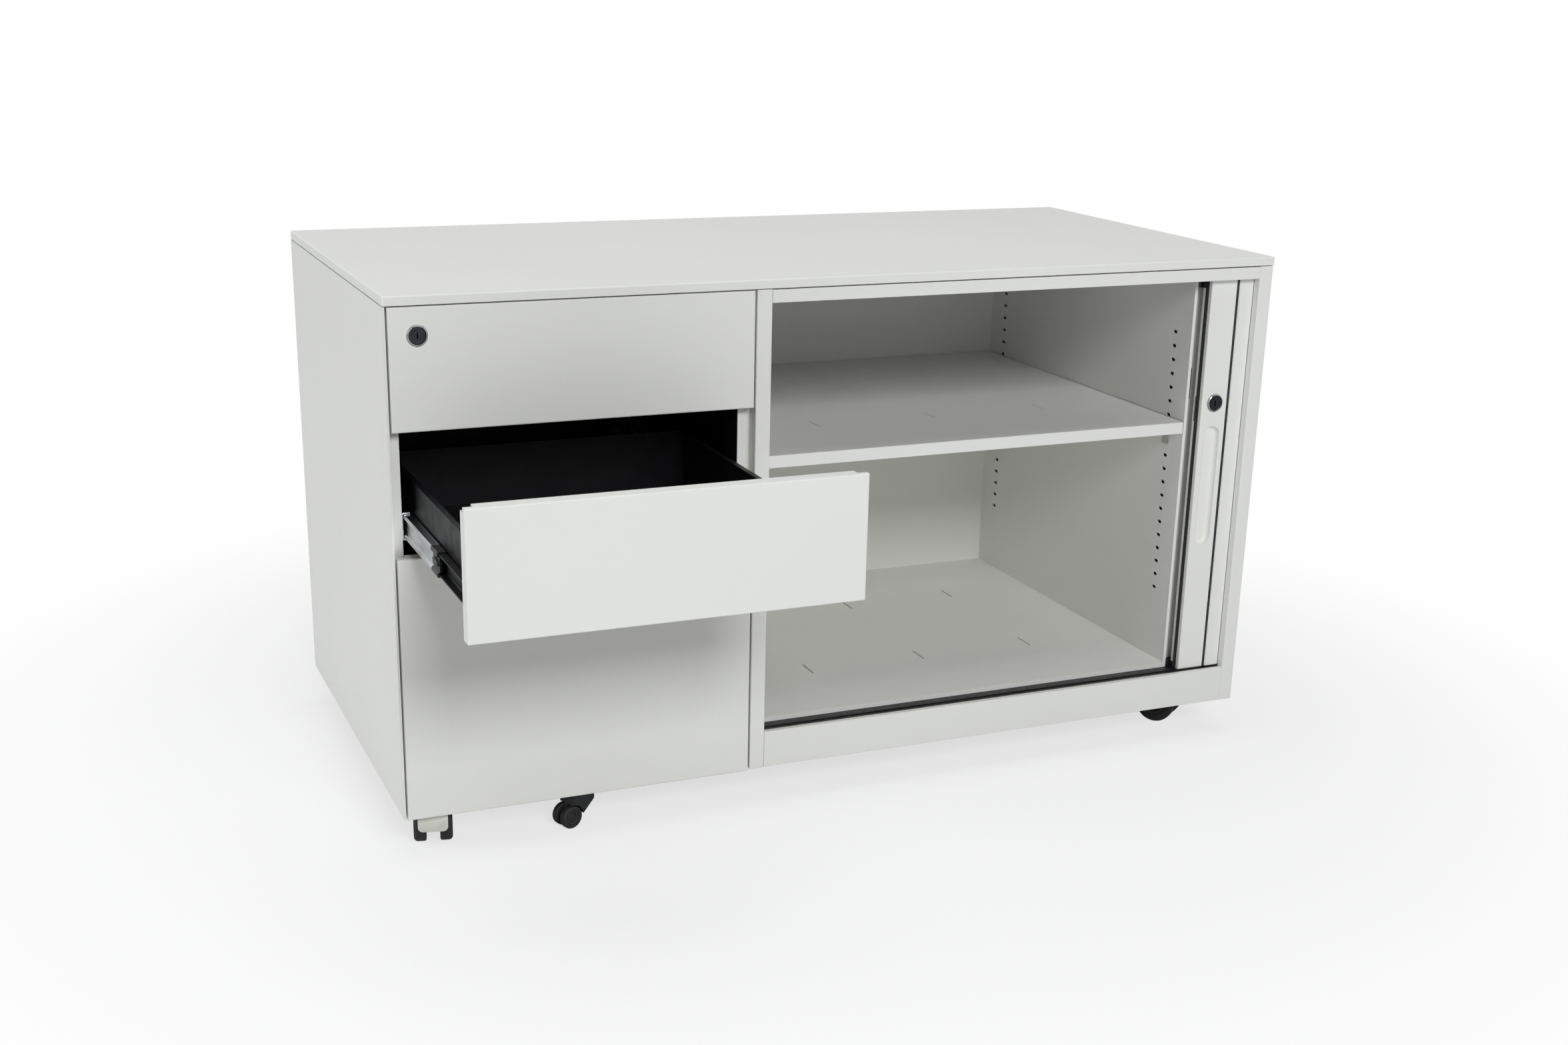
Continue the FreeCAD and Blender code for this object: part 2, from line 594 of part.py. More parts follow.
def tambour_curtain():
    """Flat slats along the stowed path, each with a tongue in both grooves."""
    path = track_path(CURTAIN_START_X)
    slats = []
    for number in range(slat_count()):
        middle = (number + 0.5) * SLAT_PITCH
        centre = path_point(path, middle)
        a, b = path_point(path, middle - SLAT_GAP), path_point(path, middle + SLAT_GAP)
        width = SLAT_PITCH - SLAT_GAP
        low, high = STILE_BOTTOM, STILE_TOP
        half = SLAT_THICK / 2
        body = Part.makeBox(width, SLAT_THICK, high - low, V(-width / 2, -half, low))
        body = body.makeChamfer(half / 2, [e for e in body.Edges if abs(e.Length - (high - low)) < 1e-6])
        reach = GROOVE_DEPTH - RUN_GAP / 2 + RUN_GAP
        tongue = Part.makeBox(SLAT_TONGUE, SLAT_TONGUE_THICK, high - low + 2 * reach,
                              V(-SLAT_TONGUE / 2, -SLAT_TONGUE_THICK / 2, low - reach))
        slat = joined([body, tongue])
        slat.rotate(V(0, 0, 0), V(0, 0, 1), math.degrees(math.atan2(b[1] - a[1], b[0] - a[0])))
        slat.translate(plan(*centre))
        slats.append(slat)
    return Part.makeCompound(slats)


def tambour_stile():
    """The lead stile: a hollow section with a scooped finger pull and the bolt's slot."""
    x, depth = (STILE_LEFT, STILE_RIGHT), (STILE_FACE_DEPTH, STILE_BACK)
    z = (STILE_BOTTOM, STILE_TOP)
    outer = rounded(block(x, depth, z), BEND, lambda p: p.y < at(STILE_FACE_DEPTH) + 1e-6)
    wall = STILE_WALL
    hollow = block((x[0] + wall, x[1] - wall), (depth[0] + wall, depth[1] - wall), (z[0] - wall, z[1] + wall))
    scoop = pull_form(PULL_WIDTH, PULL_LENGTH, PULL_DEPTH)
    cup = pull_form(PULL_WIDTH + 2 * wall, PULL_LENGTH + 2 * wall, PULL_DEPTH + wall)
    cup = cup.common(block(x, depth, z))
    barrel = rod(LOCK_2_X, STILE_FACE_DEPTH - RUN_GAP, LOCK_2_HEIGHT, LOCK_BARREL + LOCK_FIT, STILE_DEPTH / 2)
    slot = block((x[0] - wall, x[0] + 2 * wall), (BOLT_DEPTH - CAM_THICK, BOLT_DEPTH + CAM_THICK), BOLT_SLOT)
    return joined([outer.cut(hollow), cup]).cut(scoop).cut(barrel).cut(slot)


def pull_form(width, length, depth):
    """A round-ended scoop that is sunk into the stile's face."""
    x, top = LOCK_2_X, PULL_TOP + (length - PULL_LENGTH) / 2
    radius = width / 2
    ends = [(x, top - radius), (x, top - length + radius)]
    parts = [rod(u, STILE_FACE_DEPTH, z, radius, depth) for u, z in ends]
    parts.append(block((x - radius, x + radius), (STILE_FACE_DEPTH, STILE_FACE_DEPTH + depth),
                       (ends[1][1], ends[0][1])))
    form = joined(parts)
    floor = at(STILE_FACE_DEPTH + depth)
    edges = [e for e in form.Edges if all(abs(v.Point.y - floor) < 1e-6 for v in e.Vertexes)]
    return form.makeFillet(depth * 0.7, edges)


def stile_edge_strip():
    """A rubber strip down the closing edge, in front of the bolt's slot."""
    back = BOLT_DEPTH - CAM_THICK
    x = (STILE_LEFT - STRIP_THICK, STILE_LEFT)
    return block(x, (back - STRIP_WIDTH, back), (STILE_BOTTOM, STILE_TOP))


def stile_shoes():
    """Guide shoes: a plug in the hollow stile with a tongue in the groove, at top and bottom."""
    x = (LOCK_2_X - SHOE_LENGTH / 2, LOCK_2_X + SHOE_LENGTH / 2)
    plug_x = (STILE_LEFT + STILE_WALL, STILE_RIGHT - STILE_WALL)
    plug_depth = (STILE_FACE_DEPTH + STILE_WALL, STILE_BACK - STILE_WALL)
    half = GROOVE / 2 - SHOE_FIT
    tongue_depth = (TRACK_LINE - half, TRACK_LINE + half)
    shoes = []
    for end, sign in ((STILE_BOTTOM, 1), (STILE_TOP, -1)):
        def span(low, high):
            return tuple(sorted((end + sign * low, end + sign * high)))
        plug = block(plug_x, plug_depth, span(0, STILE_DEPTH))
        tongue = block(x, tongue_depth, span(-GROOVE_DEPTH - RUN_GAP / 2, 0))
        shoes.append(joined([plug, tongue]))
    return Part.makeCompound(shoes)


# Drawer bay

def slide_uprights():
    """Four angle posts, two at the front whose faces show behind the drawer fronts, two at the back."""
    tall = V(0, 0, BODY_TOP - SHEET - BASE_TOP)
    place = lambda u, v: plan(u, v, BASE_TOP)
    posts = []
    inner_left, inner_right = -INSIDE + BASE_SHEET, DIVIDER_LEFT
    for depth in (UPRIGHT_DEPTH, REAR_UPRIGHT_DEPTH):
        left = [(inner_left, depth), (BAY_LEFT, depth), (BAY_LEFT, depth + UPRIGHT_RETURN)]
        right = [(BAY_RIGHT, depth + UPRIGHT_RETURN), (BAY_RIGHT, depth), (inner_right, depth)]
        posts += [folded(left, SHEET, place, tall), folded(right, SHEET, place, tall)]
    foot = block((-INSIDE, -INSIDE + BASE_SHEET), (0, BACK_FACE), (BASE_TOP + BASE_FLANGE, BODY_TOP - SHEET))
    ears = []
    for depth in (UPRIGHT_DEPTH, REAR_UPRIGHT_DEPTH):
        ears.append(foot.common(block((-HALF, 0), (depth, depth + SHEET), (0, HEIGHT))))
    cam_room = (UPRIGHT_DEPTH + SHEET, CAM_DEPTH + 3 * CAM_THICK)
    window = block((BAY_LEFT - 2 * SHEET, BAY_LEFT + SHEET), cam_room,
                   (LOCK_1_HEIGHT - CAM_LENGTH + CAM_WIDTH / 2, LOCK_1_HEIGHT + CAM_WIDTH))
    posts[0] = joined([posts[0], ears[0]]).cut(window)
    posts[2] = joined([posts[2], ears[1]])
    return Part.makeCompound(posts)


def channel(side, z, web, lip, half, depth, length):
    """A slide member: a rolled C of sheet on its side; web and lip are distances from the upright."""
    def u(distance):
        return BAY_LEFT + distance if side < 0 else BAY_RIGHT - distance
    outline = [(u(lip), z + half), (u(web), z + half), (u(web), z - half), (u(lip), z - half)]
    if (lip > web) != (side < 0):
        outline = outline[::-1]
    bar = folded(outline, SLIDE_SHEET, lambda a, b: V(a, at(depth), b), V(0, length, 0))
    bends = ((u(web), half, SLIDE_BEND + SLIDE_SHEET),
             (u(web + math.copysign(SLIDE_SHEET, lip - web)), half - SLIDE_SHEET, SLIDE_BEND))
    for x, reach, radius in bends:
        def on_bend(p):
            return abs(p.x - x) < 1e-6 and abs(abs(p.z - z) - reach) < 1e-6
        bar = rounded(bar, radius, on_bend, V(0, 1, 0))
    return bar


CABINET_HALF = SLIDE_HEIGHT / 2
MID_HALF = CABINET_HALF - SLIDE_SHEET - SLIDE_FIT
RAIL_HALF = MID_HALF - SLIDE_SHEET - SLIDE_FIT
MID_WEB = SLIDE_SHEET + SLIDE_FIT
MID_LIP = SLIDE_SPACE - SLIDE_SHEET - SLIDE_FIT
RAIL_LIP = MID_WEB + SLIDE_SHEET + SLIDE_FIT
SLIDE_HEIGHTS = {1: FRONT_1_BOTTOM + SLIDE_RISE, 2: FRONT_2_BOTTOM + SLIDE_RISE, 3: FILE_SLIDE_HEIGHT}


def cabinet_rails():
    rails = [channel(side, z, 0.0, CABINET_LIP, CABINET_HALF, SLIDE_FRONT, SLIDE_LENGTH)
             for z in SLIDE_HEIGHTS.values() for side in (-1, 1)]
    return Part.makeCompound(rails)


def mid_rails(number):
    start = SLIDE_FRONT + STOP_LENGTH
    return Part.makeCompound([channel(side, SLIDE_HEIGHTS[number], MID_WEB, MID_LIP, MID_HALF, start,
                                      SLIDE_LENGTH - STOP_LENGTH) for side in (-1, 1)])


def slide_stops(number):
    return Part.makeCompound([channel(side, SLIDE_HEIGHTS[number], MID_WEB, MID_LIP, MID_HALF, SLIDE_FRONT,
                                      STOP_LENGTH) for side in (-1, 1)])


def drawer_rails(number):
    start = SLIDE_FRONT
    return Part.makeCompound([channel(side, SLIDE_HEIGHTS[number], SLIDE_SPACE, RAIL_LIP, RAIL_HALF, start,
                                      TRAY_LENGTH - SLIDE_FRONT) for side in (-1, 1)])


def drawer_front(low, high, seat):
    """A folded front: a face with turned-in edges, lips that the tray is fixed to, notched top corners."""
    x, depth = (FRONT_LEFT, FRONT_RIGHT), (0.0, FRONT_DEPTH)
    outer = rounded(block(x, depth, (low, high)), BEND, lambda p: p.y < at(0) + 1e-6)
    hollow = block((x[0] + SHEET, x[1] - SHEET), (SHEET, FRONT_DEPTH - SHEET), (low + SHEET, high - SHEET))
    window = block((x[0] + FRONT_LIP, x[1] - FRONT_LIP), (0.5 * FRONT_DEPTH, FRONT_DEPTH + SHEET),
                   (seat + FRONT_SEAT, high - FRONT_LIP))
    face = outer.cut(hollow).cut(window)
    for inner, outer_x in ((x[0] + FRONT_NOTCH, x[0]), (x[1] - FRONT_NOTCH, x[1])):
        span = tuple(sorted((inner, outer_x)))
        notch = block(span, (FRONT_DEPTH - FRONT_NOTCH_DEPTH, FRONT_DEPTH), (high - FRONT_NOTCH / 2, high))
        face = face.cut(notch)
    return face


def drawer_1_front():
    hole = rod(LOCK_1_X, 0.0, LOCK_1_HEIGHT, LOCK_BARREL + LOCK_FIT, FRONT_DEPTH)
    return drawer_front(FRONT_1_BOTTOM, FRONT_1_TOP, FRONT_1_BOTTOM + TRAY_RISE).cut(hole)


def tray(low, height):
    x, depth = (TRAY_LEFT, TRAY_RIGHT), (FRONT_DEPTH, FRONT_DEPTH + TRAY_LENGTH)
    shell = pan(x, depth, (low, low + height), TRAY_SHEET, "+z")
    top = (low + height - TRAY_SHEET, low + height)
    hems = [block((x[0], x[0] + TRAY_HEM), depth, top), block((x[1] - TRAY_HEM, x[1]), depth, top)]
    return joined([shell] + hems)


def file_rails():
    top = FILE_TRAY_BOTTOM + FILE_TRAY_HEIGHT
    span = (FRONT_DEPTH, FRONT_DEPTH + TRAY_LENGTH)
    starts = (TRAY_LEFT + TRAY_SHEET, TRAY_RIGHT - TRAY_SHEET - FILE_RAIL_THICK)
    rise = (top, top + FILE_RAIL_HEIGHT)
    return Part.makeCompound([block((x, x + FILE_RAIL_THICK), span, rise) for x in starts])


def fifth_castor_bracket():
    """A hat channel under the file drawer with the mounting plate of the drawer's own castor."""
    half, rise, sole = BRACKET_WIDTH / 2, FILE_TRAY_BOTTOM - BASE_HEIGHT, BRACKET_SHEET
    outline = [(half, rise), (half - rise, rise), (half - rise, sole), (-half + rise, sole),
               (-half + rise, rise), (-half, rise)]
    start = FRONT_DEPTH + RUN_GAP
    place = lambda u, v: V(DRAWER_MIDDLE + u, at(start), BASE_HEIGHT + v)
    hat = folded(outline, BRACKET_SHEET, place, V(0, BRACKET_LENGTH - RUN_GAP, 0))
    x = (DRAWER_MIDDLE - FIFTH_PLATE / 2, DRAWER_MIDDLE + FIFTH_PLATE / 2)
    plate = block(x, (start, start + FIFTH_PLATE), (STEM_TOP, BASE_HEIGHT))
    foot = V(DRAWER_MIDDLE, at(FIFTH_DEPTH), STEM_TOP - PLATE_THICK)
    hole = Part.makeCylinder(FIFTH_STEM + LOCK_FIT, 3 * PLATE_THICK, foot)
    return joined([hat, plate]).cut(hole)


# Locks

def lock_housing(x, depth, z, length):
    """A flanged barrel; its length is the distance from the mounting face to the middle of the arm."""
    flange = rod(x, depth - LOCK_FLANGE_THICK, z, LOCK_FLANGE, LOCK_FLANGE_THICK)
    face = at(depth - LOCK_FLANGE_THICK)
    rim = [e for e in flange.Edges if all(abs(v.Point.y - face) < 1e-6 for v in e.Vertexes)]
    flange = flange.makeFillet(LOCK_FLANGE_THICK * 0.6, rim)
    barrel = rod(x, depth, z, LOCK_BARREL, length - CAM_THICK / 2 - LOCK_FIT)
    bore = rod(x, depth - LOCK_FLANGE_THICK, z, LOCK_PLUG + LOCK_FIT, LOCK_FLANGE_THICK + length)
    return joined([flange, barrel]).cut(bore)


def lock_plug(x, depth, z, length):
    start = depth - LOCK_FLANGE_THICK * 2 / 3
    plug = rod(x, start, z, LOCK_PLUG, depth + length - CAM_THICK / 2 - start)
    half, rise = KEYWAY_WIDTH / 2, KEYWAY_HEIGHT / 2
    keyway = block((x - half, x + half), (start, start + KEYWAY_DEPTH), (z - rise, z + rise))
    return plug.cut(keyway)


def lock_arm(x, depth, z, length, reach):
    """The arm behind a lock: hanging down at rest, it swings to the left."""
    half = CAM_WIDTH / 2
    span = (depth + length - CAM_THICK / 2, depth + length + CAM_THICK / 2)
    eye = rod(x, span[0], z, half, CAM_THICK)
    arm = block((x - half, x + half), span, (z - reach, z))
    return joined([eye, arm])


def lock_bar():
    """A flat bar behind the left front upright with a hook for each drawer; locking lets it drop."""
    x = (-INSIDE + BASE_SHEET + SLIDE_FIT, -INSIDE + BASE_SHEET + SLIDE_FIT + LOCK_BAR_THICK)
    depth = (LOCK_BAR_DEPTH, LOCK_BAR_DEPTH + LOCK_BAR_WIDTH)
    low = BASE_TOP + SLIDE_FIT + LOCK_BAR_DROP
    bar = block(x, depth, (low, FRONT_1_TOP - SLIDE_RISE))
    lows = [z + SLIDE_HEIGHT + LOCK_BAR_DROP for z in SLIDE_HEIGHTS.values()]
    hooks = [block((x[0], x[1] + LOCK_BAR_HOOK / 2), depth, (z, z + LOCK_BAR_HOOK)) for z in lows]
    return joined([bar] + hooks)


# Castors

def castor_plate(x, depth, stem, size):
    """A rounded mounting plate with the hole that the castor's pin turns in."""
    half = size / 2
    low = BASE_HEIGHT - PLATE_THICK
    plate = block((x - half, x + half), (depth - half, depth + half), (low, BASE_HEIGHT))
    plate = plate.makeFillet(half / 4, [e for e in plate.Edges if abs(e.Length - PLATE_THICK) < 1e-6])
    hole = Part.makeCylinder(stem + LOCK_FIT, 3 * PLATE_THICK, V(x, at(depth), low - PLATE_THICK))
    return plate.cut(hole)


def castor_places():
    near, far = CASTOR_DEPTH, BODY_DEPTH - CASTOR_DEPTH
    left, right = -HALF + CASTOR_INSET, HALF - CASTOR_INSET
    return {"fl": (left, near), "fr": (right, near), "rl": (left, far), "rr": (right, far)}


def castor_plates():
    places = castor_places().values()
    return Part.makeCompound([castor_plate(x, depth, CASTOR_STEM, CASTOR_PLATE) for x, depth in places])


def castor_body(wheel, width, gap, trail, stem):
    """The swivelling fork: a hub with the pin, a web between the wheels and a hood over them."""
    top = STEM_TOP - SWIVEL_GAP
    web = gap - 2 * RUN_GAP
    hub = Part.makeCylinder(web / 2, top - wheel + stem, V(0, 0, wheel - stem))
    collar = Part.makeCylinder(web, top - 2 * wheel - HOOD_GAP, V(0, 0, 2 * wheel + HOOD_GAP))
    arm = Part.makeBox(trail, web, wheel * 0.8, V(0, -web / 2, wheel - stem))
    boss = Part.makeCylinder(AXLE + stem, web, V(trail, -web / 2, wheel), V(0, 1, 0))
    span = 2 * width + gap
    over = Part.makeCylinder(wheel + HOOD_GAP + HOOD_THICK, span, V(trail, -span / 2, wheel), V(0, 1, 0))
    under = Part.makeCylinder(wheel + HOOD_GAP, span, V(trail, -span / 2, wheel), V(0, 1, 0))
    keep = Part.makeBox(trail + wheel + 0.55 * wheel, span, wheel * 2, V(-wheel, -span / 2, wheel * 1.3))
    hood = over.cut(under).common(keep)
    rib = Part.makeBox(trail + 0.5 * wheel, web, HOOD_GAP + wheel * 0.5, V(0, -web / 2, wheel * 1.5))
    rib = rib.common(over)
    pin = Part.makeCylinder(stem, BASE_HEIGHT - SWIVEL_GAP - wheel, V(0, 0, wheel))
    body = joined([hub, collar, arm, boss, hood, rib, pin])
    axle_bore = Part.makeCylinder(AXLE + LOCK_FIT, span, V(trail, -span / 2, wheel), V(0, 1, 0))
    return body.cut(axle_bore)


def castor_wheels(wheel, width, gap, trail):
    """Two wheels with rounded treads and dished outer faces, on one axle."""
    crown = width * 0.3
    dish = width * 0.25
    parts = []
    for side in (-1, 1):
        inner, outer = gap / 2, gap / 2 + width
        profile = [V(AXLE, inner, 0), V(wheel - crown / 2, inner, 0), V(wheel, inner + crown / 2, 0),
                   V(wheel, outer - crown, 0), V(wheel - crown, outer, 0), V(wheel * 0.6, outer, 0),
                   V(wheel * 0.5, outer - dish, 0), V(AXLE, outer - dish, 0)]
        face = Part.Face(Part.makePolygon(profile + profile[:1]))
        solid = face.revolve(V(0, 0, 0), V(0, 1, 0), 360)
        if side < 0:
            solid = solid.mirror(V(0, 0, 0), V(0, 1, 0))
        parts.append(solid)
    reach = gap / 2 + width - dish
    parts.append(Part.makeCylinder(AXLE, 2 * reach, V(0, -reach, 0), V(0, 1, 0)))
    wheels = Part.makeCompound(parts)
    wheels.translate(V(trail, 0, wheel))
    return wheels


def fifth_castor_body():
    """The file drawer's castor: a raked head over two small wheels, below a collar that passes the front."""
    axle, top = FIFTH_CLEAR + FIFTH_WHEEL, FRONT_3_BOTTOM - FIFTH_UNDER
    boss = AXLE + FIFTH_STEM
    span = 2 * FIFTH_WHEEL_WIDTH + FIFTH_WHEEL_GAP
    rake = FIFTH_TRAIL - FIFTH_WHEEL + RUN_GAP
    outline = [(-FIFTH_HEAD, top), (FIFTH_TRAIL - AXLE, top), (FIFTH_TRAIL + boss, axle),
               (FIFTH_TRAIL, axle - boss), (rake, axle), (-FIFTH_HEAD, top - FIFTH_HEAD_HEIGHT)]
    corners = [V(u, -span / 2, w) for u, w in outline]
    head = Part.Face(Part.makePolygon(corners + corners[:1])).extrude(V(0, span, 0))
    head = head.makeFillet(boss / 2, [e for e in head.Edges if abs(e.Length - span) < 1e-6])
    room = FIFTH_WHEEL_WIDTH + 2 * RUN_GAP
    for start in (FIFTH_WHEEL_GAP / 2 - RUN_GAP, -FIFTH_WHEEL_GAP / 2 + RUN_GAP - room):
        well = Part.makeCylinder(FIFTH_WHEEL + HOOD_GAP, room, V(FIFTH_TRAIL, start, axle), V(0, 1, 0))
        head = head.cut(well)
    collar = Part.makeCylinder(FIFTH_COLLAR, STEM_TOP - SWIVEL_GAP - top, V(0, 0, top))
    pin = Part.makeCylinder(FIFTH_STEM, BASE_HEIGHT - SWIVEL_GAP - top + boss, V(0, 0, top - boss))
    bore = Part.makeCylinder(AXLE + LOCK_FIT, span, V(FIFTH_TRAIL, -span / 2, axle), V(0, 1, 0))
    return joined([head, collar, pin]).cut(bore)


def castor_brake(wheel, gap, trail, stem):
    """A brake lever: a curved plate below the hood's end, on a rib that turns on the axle's boss."""
    outer, inner = wheel + HOOD_GAP + HOOD_THICK, wheel + HOOD_GAP
    low = BRAKE_TOP_ANGLE - BRAKE_SPAN

    def sector(radius, hole, width):
        ring = Part.makeCylinder(radius, width, V(0, -width / 2, 0), V(0, 1, 0))
        ring = ring.cut(Part.makeCylinder(hole, width, V(0, -width / 2, 0), V(0, 1, 0)))
        reach = 2 * radius
        corners = [V(0, -width / 2, 0)]
        corners += [V(reach * math.cos(math.radians(a)), -width / 2, reach * math.sin(math.radians(a)))
                    for a in (low, low + BRAKE_SPAN / 2, low + BRAKE_SPAN)]
        wedge = Part.Face(Part.makePolygon(corners + corners[:1])).extrude(V(0, width, 0))
        return ring.common(wedge)

    plate = sector(outer, inner, BRAKE_WIDTH)
    rib = sector(outer, AXLE + stem + SLIDE_FIT, gap - 4 * RUN_GAP)
    lever = joined([plate, rib])
    lever.translate(V(trail, 0, wheel))
    return lever


def stand(shape, name, x, depth):
    """Turn a castor's piece about its stem and set it in place."""
    shape.rotate(V(0, 0, 0), V(0, 0, 1), CASTOR_TURNS[name])
    shape.translate(V(x, at(depth), 0))
    return shape


def drawn(shape, distance):
    """A piece moved forward with an open drawer."""
    shape.translate(V(0, -distance, 0))
    return shape


def nodes():
    """Every piece by name."""
    made = {name: make() for name, make in (
        ("top_panel", top_panel), ("top_stiffeners", top_stiffeners), ("left_side", left_side),
        ("right_side", right_side), ("back_panel", back_panel), ("base_panel", base_panel),
        ("divider", divider), ("top_rail", top_rail), ("plinth", plinth), ("cupboard_floor", cupboard_floor),
        ("right_liner", right_liner), ("shelf", shelf), ("shelf_clips", shelf_clips),
        ("bottom_track", bottom_track), ("top_track", top_track), ("tambour_curtain", tambour_curtain),
        ("tambour_stile", tambour_stile), ("stile_edge_strip", stile_edge_strip),
        ("stile_shoes", stile_shoes), ("slide_uprights", slide_uprights), ("cabinet_rails", cabinet_rails),
        ("lock_bar", lock_bar), ("castor_plates", castor_plates), ("file_rails", file_rails),
        ("fifth_castor_bracket", fifth_castor_bracket))}
    fronts = {1: drawer_1_front(), 2: drawer_front(FRONT_2_BOTTOM, FRONT_2_TOP, FRONT_2_BOTTOM + TRAY_RISE),
              3: drawer_front(FRONT_3_BOTTOM, FRONT_3_TOP, FILE_TRAY_BOTTOM)}
    trays = {1: tray(FRONT_1_BOTTOM + TRAY_RISE, TRAY_HEIGHT),
             2: tray(FRONT_2_BOTTOM + TRAY_RISE, TRAY_HEIGHT),
             3: tray(FILE_TRAY_BOTTOM, FILE_TRAY_HEIGHT)}
    for number in (1, 2, 3):
        out = DRAWER_2_OPEN if number == 2 else 0.0
        made[f"drawer_{number}_front"] = drawn(fronts[number], out)
        made[f"drawer_{number}_tray"] = drawn(trays[number], out)
        made[f"drawer_{number}_rails"] = drawn(drawer_rails(number), out)
        made[f"drawer_{number}_mid_rails"] = drawn(mid_rails(number), out / 2)
        made[f"drawer_{number}_slide_stops"] = drawn(slide_stops(number), out / 2)
    locks = {1: (LOCK_1_X, 0.0, LOCK_1_HEIGHT, LOCK_1_LENGTH),
             2: (LOCK_2_X, STILE_FACE_DEPTH, LOCK_2_HEIGHT, LOCK_2_LENGTH)}
    for number, place in locks.items():
        made[f"lock_{number}_housing"] = lock_housing(*place)
        made[f"lock_{number}_plug"] = lock_plug(*place)
    made["lock_1_cam"] = lock_arm(*locks[1], CAM_LENGTH)
    made["lock_2_bolt"] = lock_arm(*locks[2], BOLT_LENGTH)
    large = (CASTOR_WHEEL, CASTOR_WHEEL_WIDTH, CASTOR_WHEEL_GAP, CASTOR_TRAIL)
    for name, place in castor_places().items():
        made[f"castor_{name}_body"] = stand(castor_body(*large, CASTOR_STEM), name, *place)
        made[f"castor_{name}_wheels"] = stand(castor_wheels(*large), name, *place)
        if name in ("fl", "fr"):
            lever = castor_brake(CASTOR_WHEEL, CASTOR_WHEEL_GAP, CASTOR_TRAIL, CASTOR_STEM)
            made[f"castor_{name}_brake"] = stand(lever, name, *place)
    small = (FIFTH_WHEEL, FIFTH_WHEEL_WIDTH, FIFTH_WHEEL_GAP, FIFTH_TRAIL)
    wheels = castor_wheels(*small)
    wheels.translate(V(0, 0, FIFTH_CLEAR))
    made["castor_mid_body"] = stand(fifth_castor_body(), "mid", DRAWER_MIDDLE, FIFTH_DEPTH)
    made["castor_mid_wheels"] = stand(wheels, "mid", DRAWER_MIDDLE, FIFTH_DEPTH)
    return made


os.makedirs("parts", exist_ok=True)
for node, solid in nodes().items():
    solid.exportStep(f"parts/{node}.step")
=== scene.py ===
"""The dressed look of a mobile pedestal: white powder-coated steel, black drawer trays, a tambour and castors."""
import json
import math

import bmesh
import bpy
from mathutils import Matrix, Vector

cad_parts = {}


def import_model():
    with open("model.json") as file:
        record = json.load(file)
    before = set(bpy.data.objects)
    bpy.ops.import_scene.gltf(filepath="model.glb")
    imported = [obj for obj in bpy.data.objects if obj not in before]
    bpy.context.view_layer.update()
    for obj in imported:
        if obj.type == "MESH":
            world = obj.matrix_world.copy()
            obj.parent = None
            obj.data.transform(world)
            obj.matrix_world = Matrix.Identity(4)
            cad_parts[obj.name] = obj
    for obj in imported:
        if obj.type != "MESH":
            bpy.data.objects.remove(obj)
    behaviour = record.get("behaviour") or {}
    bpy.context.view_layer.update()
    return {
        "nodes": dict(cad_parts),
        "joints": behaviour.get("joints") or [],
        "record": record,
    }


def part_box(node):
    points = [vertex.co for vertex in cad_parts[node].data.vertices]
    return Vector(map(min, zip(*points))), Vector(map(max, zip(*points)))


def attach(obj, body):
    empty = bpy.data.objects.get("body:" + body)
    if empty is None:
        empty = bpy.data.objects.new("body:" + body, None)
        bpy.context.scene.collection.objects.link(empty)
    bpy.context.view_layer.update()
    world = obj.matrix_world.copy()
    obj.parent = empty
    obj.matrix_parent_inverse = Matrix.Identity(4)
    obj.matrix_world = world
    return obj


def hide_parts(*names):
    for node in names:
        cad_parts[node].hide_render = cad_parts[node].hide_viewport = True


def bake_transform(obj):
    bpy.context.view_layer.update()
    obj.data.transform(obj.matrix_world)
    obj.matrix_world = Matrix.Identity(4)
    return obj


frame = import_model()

NODES = frame["nodes"]
MM = 0.001


# Places read from the frame, in metres

def low(node):
    return Vector(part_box(node)[0])


def high(node):
    return Vector(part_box(node)[1])


def middle(node):
    return (low(node) + high(node)) / 2


def joint(name):
    return next(j for j in frame["joints"] if j["name"] == name)


FRONT_Y = low("right_side").y


# Node helpers for materials

def set_range(map_range, *numbers):
    """Set where a Map Range node's range starts and ends, coming in and going out."""
    for name, number in zip(("From Min", "From Max", "To Min", "To Max"), numbers):
        map_range.inputs[name].default_value = number


